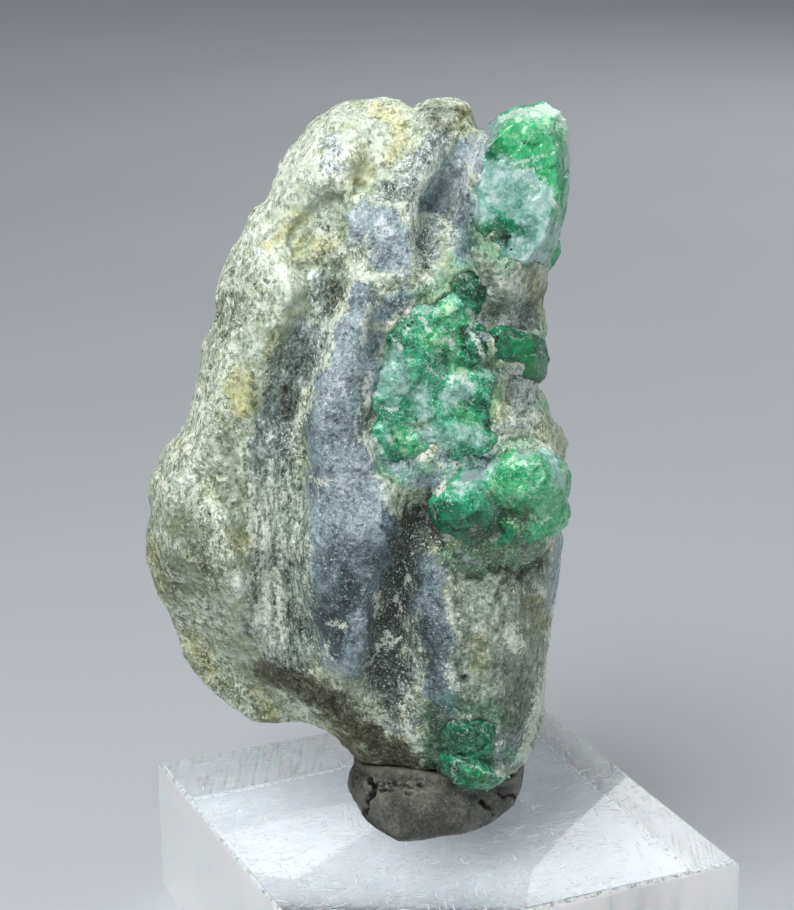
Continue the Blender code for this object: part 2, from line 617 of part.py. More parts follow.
def make_emeralds():
    """Every emerald, and for each a cutter that is larger by the gap."""
    green = material("emerald", (0.05, 0.42, 0.17), 0.25, 0.35, 1.58)
    groups = {
        "emerald_top_crystal": TOP_CRYSTAL,
        "emerald_edge_chip": EDGE_CHIP,
        "emerald_central_mass": grains_of_mass(),
        "emerald_dark_prism": DARK_PRISM,
        "emerald_nodule": NODULE,
        "emerald_tip_crystal": TIP_CRYSTAL,
    }
    emeralds, pockets = {}, {}
    for name, shapes in groups.items():
        emeralds[name] = grown(name, shapes, green)
        pockets[name] = helper(grown(f"{name}_pocket", shapes, green, grow=GAP))
    # the mass gives way to the crystals that stand in its edge
    mass = emeralds["emerald_central_mass"]
    combine(mass, "DIFFERENCE", [
        pockets["emerald_top_crystal"], pockets["emerald_dark_prism"], pockets["emerald_nodule"]
    ])
    finish_mesh(mass)
    return list(pockets.values())


def make_stone(cutters):
    """The matrix with a pocket for each emerald, and a cutter of its outer shape grown by the gap."""
    schist = material("schist", (0.42, 0.43, 0.36), 0.75)
    stone = new_object("matrix", stone_shell, schist)
    thin_out(stone, STONE_TRIANGLES)
    room = new_object("stone_room", lambda shape: stone_shell(shape, grow=GAP), schist)
    thin_out(room, ROOM_TRIANGLES)
    combine(stone, "DIFFERENCE", cutters)
    finish_mesh(stone)
    return helper(room)


def make_holder(cutters):
    """The putty, pressed round the foot of the stone, and the acrylic block that it sits on."""
    putty = new_object("putty", putty_shell, material("putty", (0.10, 0.10, 0.085), 0.6))
    combine(putty, "DIFFERENCE", cutters)
    finish_mesh(putty)
    clear = material("acrylic", (0.93, 0.95, 0.95), 0.08, 1.0, 1.49)
    finish_mesh(new_object("acrylic_block", block_shell, clear))


def main():
    """Clears the scene and builds every piece."""
    for obj in list(bpy.data.objects):
        bpy.data.objects.remove(obj)
    pockets = make_emeralds()
    room = make_stone(pockets)
    make_holder([room, pockets[-1]])


main()
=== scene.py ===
"""Emerald in matrix, dressed: the broken surface and the finishes of a slab of mica schist and quartz
with emeralds grown in it, held in putty on a block of clear acrylic.

Metres, +Z up. Places on the stone are given in millimetres in its face frame: x across the broad face,
z up, and depth away from the viewer, as the solids have them.
"""

import math

import bmesh
import bpy
import numpy as np
from bpy.props import FloatProperty, FloatVectorProperty, IntProperty, PointerProperty
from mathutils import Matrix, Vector, bvhtree, kdtree, noise


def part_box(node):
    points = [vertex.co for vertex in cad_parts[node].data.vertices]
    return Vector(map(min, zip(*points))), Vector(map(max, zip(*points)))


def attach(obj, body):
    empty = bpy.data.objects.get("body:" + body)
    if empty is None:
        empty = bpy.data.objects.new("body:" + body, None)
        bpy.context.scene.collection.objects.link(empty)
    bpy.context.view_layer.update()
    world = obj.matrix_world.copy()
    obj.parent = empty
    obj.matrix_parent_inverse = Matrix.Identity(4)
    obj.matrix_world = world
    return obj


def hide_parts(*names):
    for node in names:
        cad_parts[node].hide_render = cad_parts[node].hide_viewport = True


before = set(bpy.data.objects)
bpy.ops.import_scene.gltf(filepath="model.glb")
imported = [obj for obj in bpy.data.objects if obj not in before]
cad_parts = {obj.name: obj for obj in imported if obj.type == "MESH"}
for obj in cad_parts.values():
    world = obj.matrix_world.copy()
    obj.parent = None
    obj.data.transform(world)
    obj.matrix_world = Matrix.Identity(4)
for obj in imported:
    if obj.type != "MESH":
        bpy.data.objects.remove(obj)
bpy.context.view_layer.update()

bl_info = {
    "name": "Emerald in matrix",
    "version": (1, 0, 0),
    "blender": (4, 5, 0),
    "location": "3D View > Sidebar > Emerald",
    "description": "Makes the stone, its emeralds, the putty, the acrylic block and the studio",
    "category": "Add Mesh",
}

MM = 0.001
FACE_TURN = math.radians(-24.3)  # the broad face is turned this far about Z from the block's front
FACE_EYE = (-2.65, -139.1, 79.9)  # where the face frame is looked at from, in millimetres
BLOCK_TOP = 10.35  # the putty's relief begins this high, in millimetres
CORNER = 0.0009  # the radius of the block's upright corners, in metres
CAMERA_SPOT = (-0.05973, -0.12568, 0.07987)
SENSOR = 36.0
DENT_DEPTH = 0.95  # in millimetres


def tint(red, green, blue):
    """A colour for a shader, from its screen values of 0 to 255."""
    shares = (red / 255, green / 255, blue / 255)
    return tuple(v / 12.92 if v <= 0.04045 else ((v + 0.055) / 1.055) ** 2.4 for v in shares)


# ---------------------------------------------------------------------------------------------------
# Where each finish lies on the stone, in the face frame: a stroke is its half-width and its points, and
# an area has None for its half-width and lists its corners.

QUARTZ_BAND = [
    (-5.4, 47.6), (-6.0, 46.0), (-6.2, 45.2), (-6.9, 44.6), (-6.9, 43.0), (-7.3, 41.6), (-8.2, 40.9),
    (-8.4, 39.2), (-8.9, 37.8), (-8.7, 36.5), (-8.6, 34.0), (-8.5, 31.0), (-8.3, 27.0), (-8.0, 23.0),
    (-7.6, 20.4), (-5.3, 19.6), (-4.4, 21.8), (-3.9, 24.5), (-3.4, 27.0), (-2.6, 29.0), (-2.4, 30.8),
    (-2.9, 32.4), (-3.6, 34.4), (-4.6, 36.2), (-5.0, 38.0), (-5.0, 41.0), (-4.5, 43.5), (-4.0, 45.5),
    (-4.1, 47.4),
]
RIDGE_CHIP = [
    (-5.8, 24.2), (-5.2, 24.7), (-4.6, 24.1), (-4.6, 22.6), (-5.4, 21.3), (-6.2, 21.6), (-6.3, 23.0),
]
HOLE = (1.9, 19.7, 0.3)  # a small round hole: its place and its radius
PUTTY_CRACKS = [
    (0.22, [(-4.6, 12.4), (-4.3, 11.7), (-4.7, 11.0)]), (0.1, [(-4.7, 11.0), (-4.8, 10.2), (-5.0, 9.6)]),
    (0.08, [(-4.2, 12.0), (-3.2, 12.2), (-2.0, 11.9), (-1.0, 11.9)]),
    (0.07, [(-3.9, 11.6), (-3.0, 11.5)]), (0.1, [(3.2, 10.6), (3.5, 10.2)]),
    (0.16, [(5.4, 11.0), (5.8, 10.6), (5.7, 10.1)]), (0.13, [(6.1, 10.3), (6.4, 10.0)]),
    (0.07, [(4.2, 11.2), (4.8, 10.9), (5.3, 11.1)]),
]
STONE_REGIONS = {
    "quartz": [
        (None, QUARTZ_BAND), (1.2, [(-4.6, 51.3), (-3.4, 50.7), (-3.0, 49.4), (-2.8, 48.4)]),
        (0.7, [(-5.6, 51.4), (-5.2, 50.2)]), (1.2, [(-0.6, 27.4), (-0.5, 25.0), (-0.1, 22.8)]),
        (1.0, [(0.0, 22.0), (0.3, 19.0), (0.7, 18.0)]),
        (1.1, [(-3.2, 35.6), (-2.0, 34.6), (-0.8, 34.0), (0.4, 34.8)]), (0.6, [(2.2, 35.4), (3.0, 36.0)]),
        (0.8, [(3.1, 57.3), (3.6, 56.8)]), (0.7, [(1.7, 48.8), (1.6, 50.4), (1.7, 52.4)]),
        (0.6, [(8.4, 29.6), (8.2, 27.4), (7.8, 25.4)]), (0.4, [(2.8, 44.4), (3.0, 43.6)]),
        (0.9, [(2.2, 34.6), (3.4, 35.2)]), (0.7, [(-4.3, 43.6), (-4.2, 41.0), (-4.2, 39.4)]),
        (0.7, [(-3.6, 45.2), (-2.2, 46.2)]),
        (1.1, [(1.7, 55.4), (0.6, 54.0), (-0.2, 52.8), (-0.6, 51.9)]), (0.7, [(2.4, 54.8), (2.6, 55.8)]),
    ],
    "valley": [
        (1.4, [(-8.3, 43.4), (-9.3, 41.6), (-9.9, 39.6), (-10.4, 37.4), (-11.1, 35.4)]),
        (1.0, [(-10.4, 35.0), (-11.0, 32.6)]), (0.6, [(-7.7, 47.6), (-7.2, 45.4)]),
        (0.9, [(0.0, 56.0), (-2.2, 54.0), (-2.8, 53.0)]), (0.8, [(-1.0, 50.2), (-0.8, 48.9)]),
        (0.5, [(0.3, 34.2), (-0.3, 32.6), (-0.3, 31.0), (0.2, 29.4)]), (0.7, [(5.0, 15.6), (5.0, 14.0)]),
        (1.2, [(-1.6, 31.0), (-1.8, 29.4), (-2.4, 27.0), (-3.0, 24.4), (-3.2, 22.0), (-3.4, 19.8)]),
        (1.1, [(-2.4, 20.4), (-2.6, 18.4), (-2.4, 16.6)]), (0.8, [(1.0, 52.4), (1.1, 50.6)]),
        (0.6, [(-6.7, 56.2), (-6.9, 54.6)]), (0.6, [(4.4, 44.8), (5.4, 44.9)]),
        (0.9, [(5.4, 40.2), (5.7, 39.2)]), (0.5, [(4.2, 41.3), (5.4, 41.3)]),
        (0.5, [(-0.1, 34.0), (-0.1, 31.6), (0.2, 29.8)]), (0.7, [(3.5, 33.2), (4.2, 31.2)]),
        (0.5, [(3.0, 36.7), (4.6, 37.2), (6.2, 37.6)]),
        (0.3, [(-4.9, 43.4), (-5.0, 40.0), (-4.9, 37.4), (-4.3, 35.9)]),
    ],
    "streak": [
        (1.9, [(-10.6, 33.4), (-10.3, 30.0), (-10.0, 26.0), (-9.8, 22.0)]),
        (0.5, [(-12.1, 35.5), (-12.0, 31.0), (-11.9, 27.5), (-12.4, 23.0)]),
        (0.6, [(-8.2, 29.0), (-8.0, 25.0), (-7.9, 22.0)]),
        (0.5, [(0.6, 55.6), (-0.8, 53.9), (-1.5, 52.4)]), (0.6, [(2.2, 54.2), (1.4, 52.6), (0.9, 51.0)]),
        (0.6, [(-3.6, 27.4), (-4.0, 24.6), (-4.4, 22.0)]),
        (0.5, [(-1.4, 28.0), (-2.0, 26.0), (-1.9, 23.6), (-1.5, 21.4)]),
        (0.3, [(-0.8, 33.0), (-0.7, 31.2)]),
    ],
    "brown": [
        (2.4, [(3.4, 25.4), (3.8, 21.5), (4.2, 18.0), (4.8, 16.0)]),
        (1.4, [(6.2, 26.6), (6.3, 22.0), (6.0, 18.0)]), (0.9, [(1.6, 24.0), (1.7, 22.4), (2.2, 19.6)]),
        (1.3, [(3.4, 46.9), (4.8, 46.8), (6.0, 47.2)]), (1.1, [(4.0, 44.9), (5.4, 44.9)]),
        (0.8, [(-0.9, 57.7), (0.4, 57.6)]), (0.7, [(-7.0, 48.4), (-6.6, 46.3)]),
        (0.9, [(1.4, 27.4), (5.6, 27.6)]), (0.9, [(-8.7, 44.0), (-9.4, 42.2)]),
        (0.8, [(-9.4, 39.2), (-9.6, 38.2)]), (0.6, [(0.2, 50.6), (-0.2, 49.6)]), (0.6, [(-2.1, 31.3)]),
        (1.5, [(0.5, 16.8), (0.5, 13.6)]), (1.5, [(2.0, 17.9), (4.6, 17.0), (5.4, 14.0)]),
        (1.0, [(2.0, 28.2), (4.0, 28.0), (6.6, 28.2)]),
    ],
    # Umber: a brown stain, also painted shade along the undercut, under the ledge below the top crystal and
    # in crevices.
    "umber": [
        (1.0, [(-11.4, 20.4), (-9.4, 19.4), (-7.4, 18.2), (-5.6, 16.4), (-4.0, 14.9), (-2.2, 13.6)]),
        (0.7, [(-6.4, 15.0), (-4.2, 13.2), (-1.0, 12.6)]),
        (0.15, [(-1.0, 58.2), (0.4, 58.3), (1.2, 58.0)]), (0.25, [(6.0, 45.8), (6.7, 46.3)]),
        (0.25, [(-6.9, 47.2), (-6.9, 45.6)]), (0.3, [(-9.9, 40.3), (-9.7, 38.8)]),
        (0.35, [(3.8, 27.4), (5.6, 27.4), (6.8, 27.9)]), (0.15, [(-0.7, 57.6), (0.6, 57.0)]),
        (0.6, [(3.4, 33.4), (3.9, 32.0), (4.3, 31.0)]), (0.5, [(4.3, 31.0), (3.4, 29.6)]),
    ],
    "ochre": [
        (0.6, [(-7.0, 49.4), (-7.6, 49.2)]), (0.6, [(-8.6, 50.0), (-8.7, 49.2)]),
        (0.5, [(-10.8, 43.3), (-10.7, 42.0)]), (1.1, [(-12.9, 40.6), (-12.6, 38.8)]),
        (0.6, [(-4.0, 58.2), (-2.9, 57.5), (-2.5, 56.2), (-3.0, 54.8)]),
        (0.7, [(-5.0, 55.0), (-4.8, 54.2)]), (0.3, [(-8.5, 40.0), (-8.8, 38.9)]),
        (0.7, [(6.0, 47.3), (6.4, 46.5)]), (0.8, [(-16.4, 23.0), (-15.8, 21.2), (-15.0, 19.6)]),
        (0.6, [(-19.0, 29.4), (-18.4, 26.0)]), (0.5, [(6.7, 37.3)]), (0.5, [(7.0, 29.0)]),
        (0.6, [(6.3, 25.8), (6.9, 23.6)]), (0.7, [(1.2, 57.6), (1.6, 56.8)]),
        (0.8, [(-13.4, 30.0), (-12.8, 29.2)]), (0.4, [(1.2, 47.1)]),
        (0.8, [(-12.0, 18.6), (-11.2, 17.2)]), (0.5, [(-10.6, 49.6), (-9.6, 50.6), (-9.0, 51.8)]),
        (0.5, [(-2.0, 31.0)]), (0.5, [(-2.6, 17.0)]), (0.6, [(-7.4, 16.4), (-5.6, 15.2)]),
        (0.5, [(3.8, 39.1), (4.2, 38.3)]), (0.7, [(2.8, 22.4), (3.0, 20.8)]),
    ],
    "smooth": [
        (1.4, [(-9.4, 53.0), (-9.2, 50.0), (-9.0, 46.6), (-9.6, 44.6)]),
        (1.2, [(-12.8, 40.4), (-11.9, 38.2)]), (1.0, [(-11.8, 43.6), (-12.2, 41.8)]),
        (1.2, [(-12.4, 35.6), (-12.5, 31.0)]), (1.2, [(-13.4, 32.4)]),
        (1.4, [(-16.9, 30.6), (-17.0, 26.4)]), (1.0, [(-13.0, 24.6), (-12.8, 21.4)]),
        (1.6, [(-5.0, 56.0), (-4.2, 54.6)]), (0.8, [(-6.2, 51.6), (-6.6, 53.2)]),
        (1.0, [(0.4, 49.6), (0.6, 47.6)]), (1.0, [(4.4, 47.2), (6.0, 47.0)]),
        (1.0, [(2.0, 51.0), (2.4, 49.2), (3.2, 48.6)]), (1.0, [(-9.2, 42.4), (-9.8, 39.6)]),
        (0.7, [(1.9, 22.6), (2.0, 20.6)]), (0.9, [(-14.6, 35.0), (-13.6, 36.2)]),
    ],
    # Pale stone; the strokes on the upper ridge and over the shadowed valley beside the slate are painted
    # light.
    "pale": [
        (0.9, [(5.2, 40.0), (5.8, 39.0)]), (1.0, [(-10.2, 38.6), (-10.8, 36.4)]),
        (0.6, [(0.2, 54.2), (-0.2, 53.0)]), (1.0, [(-9.4, 52.2), (-8.0, 50.8)]),
        (0.5, [(8.0, 25.6), (7.6, 22.0), (7.1, 19.2), (6.3, 15.6), (5.7, 13.8)]),
        (2.2, [(-6.2, 55.5), (-4.8, 55.0), (-3.4, 56.8)]), (0.8, [(0.9, 54.2), (0.2, 53.4)]),
        (1.2, [(-9.6, 54.2), (-9.8, 52.4)]), (0.9, [(-12.2, 51.2), (-11.9, 49.4), (-11.1, 48.5)]),
        (0.9, [(-10.0, 48.0), (-8.6, 47.5)]), (0.8, [(-13.4, 43.6), (-14.6, 42.8)]),
        (1.0, [(-12.7, 42.4), (-13.3, 41.2), (-14.2, 40.2)]),
        (1.1, [(-15.8, 38.4), (-16.2, 36.9), (-17.2, 35.8)]), (0.9, [(-14.0, 25.8), (-13.2, 24.6)]),
        (0.55, [(-10.7, 33.6), (-10.8, 31.0), (-10.9, 28.4), (-11.3, 25.0), (-11.6, 22.0)]),
        (0.8, [(-16.6, 23.9), (-16.0, 22.4)]), (0.9, [(-7.2, 51.4), (-6.9, 50.2)]),
        (1.3, [(-3.6, 50.8), (-3.2, 49.6)]), (0.7, [(3.9, 39.1), (4.5, 38.1)]),
        (0.6, [(-5.5, 48.0), (-4.4, 47.5), (-2.6, 47.3), (-1.4, 46.7)]),
        (0.8, [(-5.2, 52.0), (-4.2, 51.7), (-2.6, 51.4), (-1.4, 51.0)]),
        (1.0, [(-5.8, 44.8), (-5.9, 42.0), (-6.2, 39.6)]), (0.8, [(0.5, 49.6), (0.8, 48.4), (0.3, 47.4)]),
        (0.5, [(6.8, 45.4), (6.9, 43.0)]), (0.7, [(7.7, 36.9), (8.2, 35.8), (8.1, 34.4)]),
        (0.35, [(7.2, 26.0), (7.1, 22.0), (7.0, 18.8)]), (0.6, [(6.8, 17.6), (6.3, 15.4), (5.7, 14.0)]),
        (0.35, [(0.9, 25.4), (1.1, 23.4)]), (0.4, [(1.4, 26.6)]), (0.6, [(-9.8, 18.2), (-8.6, 17.2)]),
        (0.4, [(-7.4, 16.8), (-6.0, 15.9), (-4.8, 14.9)]), (0.7, [(-2.6, 16.0), (-1.6, 14.8)]),
        (0.5, [(0.0, 35.8), (0.7, 35.6)]), (0.5, [(2.0, 35.4), (2.8, 35.8)]),
        (1.5, [(-2.8, 34.0), (-1.6, 33.6), (-0.2, 34.6)]), (0.5, [(6.9, 39.4), (7.0, 38.4)]),
        (1.0, [(1.6, 55.2), (0.8, 54.2)]), (0.4, [(0.3, 57.0), (1.1, 57.3)]), (1.0, [(0.3, 53.8)]),
        (1.0, [(4.0, 46.9), (6.2, 46.9)]), (0.9, [(-9.0, 55.6), (-7.6, 57.0)]),
        (0.8, [(-13.2, 47.0), (-12.2, 46.6)]), (0.7, [(-17.6, 33.6), (-16.6, 33.8)]),
        (1.4, [(-5.4, 33.4), (-5.2, 31.6)]), (0.6, [(-3.8, 30.8), (-3.2, 30.4)]),
        (0.8, [(8.2, 29.0), (8.0, 26.6)]), (0.5, [(2.0, 54.0), (2.5, 53.2)]),
    ],
    "frost": [
        (0.22, [(-5.2, 48.6), (-5.6, 47.2), (-6.0, 46.0), (-6.4, 44.9), (-7.0, 44.2), (-7.0, 42.8),
            (-7.8, 41.2), (-8.5, 40.0), (-8.7, 38.6), (-9.2, 37.5), (-9.4, 36.0)]),
        (0.3, [(-4.7, 36.6), (-4.2, 35.2), (-3.5, 33.6), (-3.1, 32.3), (-2.6, 31.2)]),
        (0.3, [(-4.3, 45.6), (-4.7, 44.6), (-4.7, 43.2)]), (0.25, [(-3.8, 25.8), (-4.0, 24.6)]),
        (0.2, [(-3.5, 23.0), (-4.3, 21.4)]), (0.18, [(-2.9, 22.7), (-3.4, 21.9)]),
        (0.14, [(-2.1, 27.0), (-2.7, 25.6), (-2.3, 24.2)]), (0.2, [(-0.6, 35.2), (0.3, 34.9)]),
        (0.25, [(2.9, 36.4), (4.6, 37.1), (6.0, 37.3)]), (0.25, [(-4.6, 40.8), (-4.7, 39.0)]),
        (0.25, [(0.9, 20.6), (1.2, 19.0)]), (0.3, [(1.9, 54.6), (2.4, 53.4)]),
        (0.2, [(-6.2, 23.4), (-6.8, 23.9)]), (0.3, [(-0.8, 54.0), (-1.4, 52.6), (-1.6, 51.4)]),
        (0.25, [(-12.2, 34.4), (-12.1, 31.8), (-12.3, 29.4)]), (0.2, [(-7.3, 22.4), (-7.2, 21.2)]),
        (0.3, [(-7.8, 34.0), (-7.3, 33.7)]), (0.25, [(-11.2, 30.0), (-11.3, 27.0), (-11.5, 24.0)]),
        (0.2, [(-10.6, 28.0), (-10.7, 25.0), (-10.4, 22.6)]),
        (0.3, [(0.9, 25.4), (1.0, 24.2), (1.2, 23.4)]), (0.1, [(0.5, 34.8), (0.3, 33.4), (-0.2, 32.6)]),
        (0.25, [(6.9, 26.4), (6.8, 25.6)]),
        (0.34, [(8.1, 25.8), (7.7, 22.4), (7.3, 19.4), (6.5, 15.8), (5.9, 14.0)]),
        (0.4, [(4.9, 23.4), (5.5, 22.0)]), (0.22, [(-1.8, 18.8), (-2.2, 17.4), (-1.8, 15.4)]),
        (0.2, [(-1.0, 34.8), (0.1, 35.0)]), (0.22, [(-1.0, 51.4), (0.0, 51.4), (0.6, 50.6)]),
        (0.25, [(-5.4, 47.6), (-4.0, 47.4), (-2.6, 47.5)]),
    ],
    "shade": [
        (1.0, [(-13.2, 45.8), (-13.8, 44.4)]), (1.1, [(-15.5, 28.8), (-14.6, 27.0)]),
        (0.5, [(-6.8, 56.2)]), (0.6, [(-5.8, 27.4), (-6.2, 25.4)]), (0.7, [(-9.4, 38.2), (-9.5, 36.4)]),
        (0.3, [(5.3, 45.4), (6.4, 45.8), (6.9, 46.4)]), (0.7, [(-3.4, 20.6), (-3.2, 22.4), (-2.6, 23.8)]),
        (0.9, [(-10.4, 19.6), (-8.6, 18.8), (-6.4, 17.2), (-4.6, 15.2), (-2.2, 13.3)]),
        (0.35, [(-5.0, 40.2), (-4.9, 37.4)]), (0.7, [(-0.2, 33.6), (-0.4, 31.2), (0.1, 29.8)]),
        (0.9, [(3.4, 33.4), (4.2, 31.2), (3.4, 29.8)]), (0.5, [(-1.0, 49.8), (-0.7, 49.0)]),
        (0.5, [(-6.8, 47.4), (-6.4, 45.8)]), (0.9, [(2.4, 49.9), (3.2, 49.4)]), (0.6, [(-12.4, 22.4)]),
        (0.5, [(3.2, 44.6), (3.4, 43.8)]), (1.0, [(-6.6, 22.0), (-7.4, 24.6)]),
        (0.9, [(-0.4, 23.6), (0.2, 20.0)]), (0.6, [(0.1, 52.4), (-0.5, 51.9)]),
        (1.2, [(-2.6, 26.6), (-2.4, 29.2)]), (0.9, [(-16.4, 20.8), (-14.4, 18.8), (-11.4, 16.8)]),
        (1.4, [(5.4, 18.4), (5.8, 15.8)]), (1.0, [(-17.6, 27.6), (-17.2, 23.6)]),
        (1.0, [(1.4, 28.6), (5.6, 28.2)]),
        (1.4, [(-1.8, 30.8), (-2.4, 28.0), (-3.2, 24.0), (-3.4, 20.6)]),
        (1.2, [(0.2, 16.0), (0.4, 13.4)]),
    ],
    # Painted shade in broad patches: the lower ridge, the seams, the lower left lobe and the undercut.
    "dusk": [
        (1.2, [(-5.8, 27.6), (-6.2, 25.2)]),
        (1.3, [(-1.7, 30.4), (-2.4, 27.0), (-2.7, 23.6), (-2.7, 20.0), (-2.2, 18.0)]),
        (0.6, [(-16.6, 31.0), (-16.2, 28.0)]), (0.5, [(-9.0, 19.0), (-5.0, 16.0), (-2.6, 13.6)]),
        (0.4, [(-0.4, 24.6)]),
    ],
    # Painted light in broad patches: the upper lobes and the top, and faces turned down or lying in shadow.
    "dawn": [
        (1.8, [(-6.6, 55.6), (-3.6, 56.6)]), (1.0, [(3.6, 47.4), (5.6, 47.0)]),
        (1.4, [(-7.6, 54.6), (-7.8, 52.6)]),
        (1.4, [(-9.4, 54.4), (-10.2, 51.4), (-9.6, 48.0), (-9.3, 45.6)]),
        (1.2, [(1.4, 54.8), (0.2, 53.4)]), (0.8, [(-10.4, 32.6), (-10.6, 29.8)]),
        (0.8, [(4.2, 38.6), (5.8, 39.6)]), (0.8, [(4.4, 44.9)]), (0.6, [(-2.8, 35.2), (-1.2, 34.4)]),
        (1.0, [(3.4, 23.6)]), (0.6, [(5.0, 18.4)]),
    ],
    "green": [
        (0.2, [(-3.9, 42.4), (-3.9, 40.0)]), (0.8, [(1.2, 48.6), (2.0, 47.8), (0.4, 47.2)]),
        (0.3, [(2.2, 52.6), (2.2, 50.6), (2.4, 49.4)]), (0.6, [(3.2, 42.8), (3.6, 41.0), (3.4, 38.4)]),
        (0.8, [(7.0, 39.2)]), (0.9, [(3.4, 33.4), (4.1, 31.4), (3.4, 29.6)]),
        (0.7, [(3.8, 35.8), (5.6, 36.6)]), (1.1, [(0.8, 28.6), (3.0, 28.2), (6.0, 28.4)]),
        (0.8, [(0.0, 17.4), (1.6, 18.0), (3.6, 17.4)]), (0.7, [(5.2, 14.2)]),
        (0.3, [(-1.8, 46.6), (-2.8, 46.0)]), (0.7, [(-3.8, 34.8), (-2.4, 33.8), (-0.6, 35.2)]),
        (0.6, [(6.4, 42.2), (6.9, 44.0)]), (1.0, [(2.3, 50.0), (3.2, 49.4), (4.0, 48.7)]),
        (0.8, [(0.6, 34.4), (2.2, 34.8)]), (1.1, [(0.0, 16.6), (0.0, 13.8)]),
        (1.0, [(0.8, 17.8), (3.4, 17.6), (4.6, 16.6)]), (0.8, [(-1.0, 46.2), (0.4, 46.4)]),
        (0.4, [(3.4, 38.4), (3.8, 37.8)]),
    ],
}
# A shallow recess of the solid's front that the stone doesn't have: filled, and smoothed over.
DENTS = [
    (1.5, [(-9.5, 50.9), (-8.4, 51.2), (-7.2, 51.6), (-6.0, 51.9)]),
]
# Where the stone laps over the front of a crystal.
LAPS = [
    (0.8, [(2.1, 56.4), (2.2, 55.2), (1.9, 54.2)]), (0.55, [(1.5, 53.2), (1.4, 51.0), (1.5, 49.6)]),
    (0.35, [(3.6, 48.1), (4.8, 47.8), (5.6, 47.5)]),
    (0.5, [(1.1, 35.0), (0.2, 33.8), (-0.2, 32.0), (0.1, 30.6)]), (0.6, [(1.4, 28.8), (1.8, 27.8)]),
    (0.8, [(2.4, 28.0), (3.8, 28.2), (5.0, 28.2)]), (0.5, [(6.0, 28.8), (7.4, 29.4)]),
    (0.3, [(3.2, 35.6), (4.6, 36.3), (6.2, 36.5), (7.6, 36.0)]), (0.7, [(4.9, 16.4), (4.8, 14.6)]),
    (0.5, [(5.0, 13.2), (4.9, 12.6)]), (0.5, [(4.0, 41.5), (5.2, 41.4)]),
    (0.4, [(-4.0, 41.6), (-4.5, 39.6)]), (0.4, [(3.5, 42.6), (3.0, 43.8)]),
    (0.5, [(-0.6, 35.6), (0.4, 35.9), (1.6, 35.7)]),
]

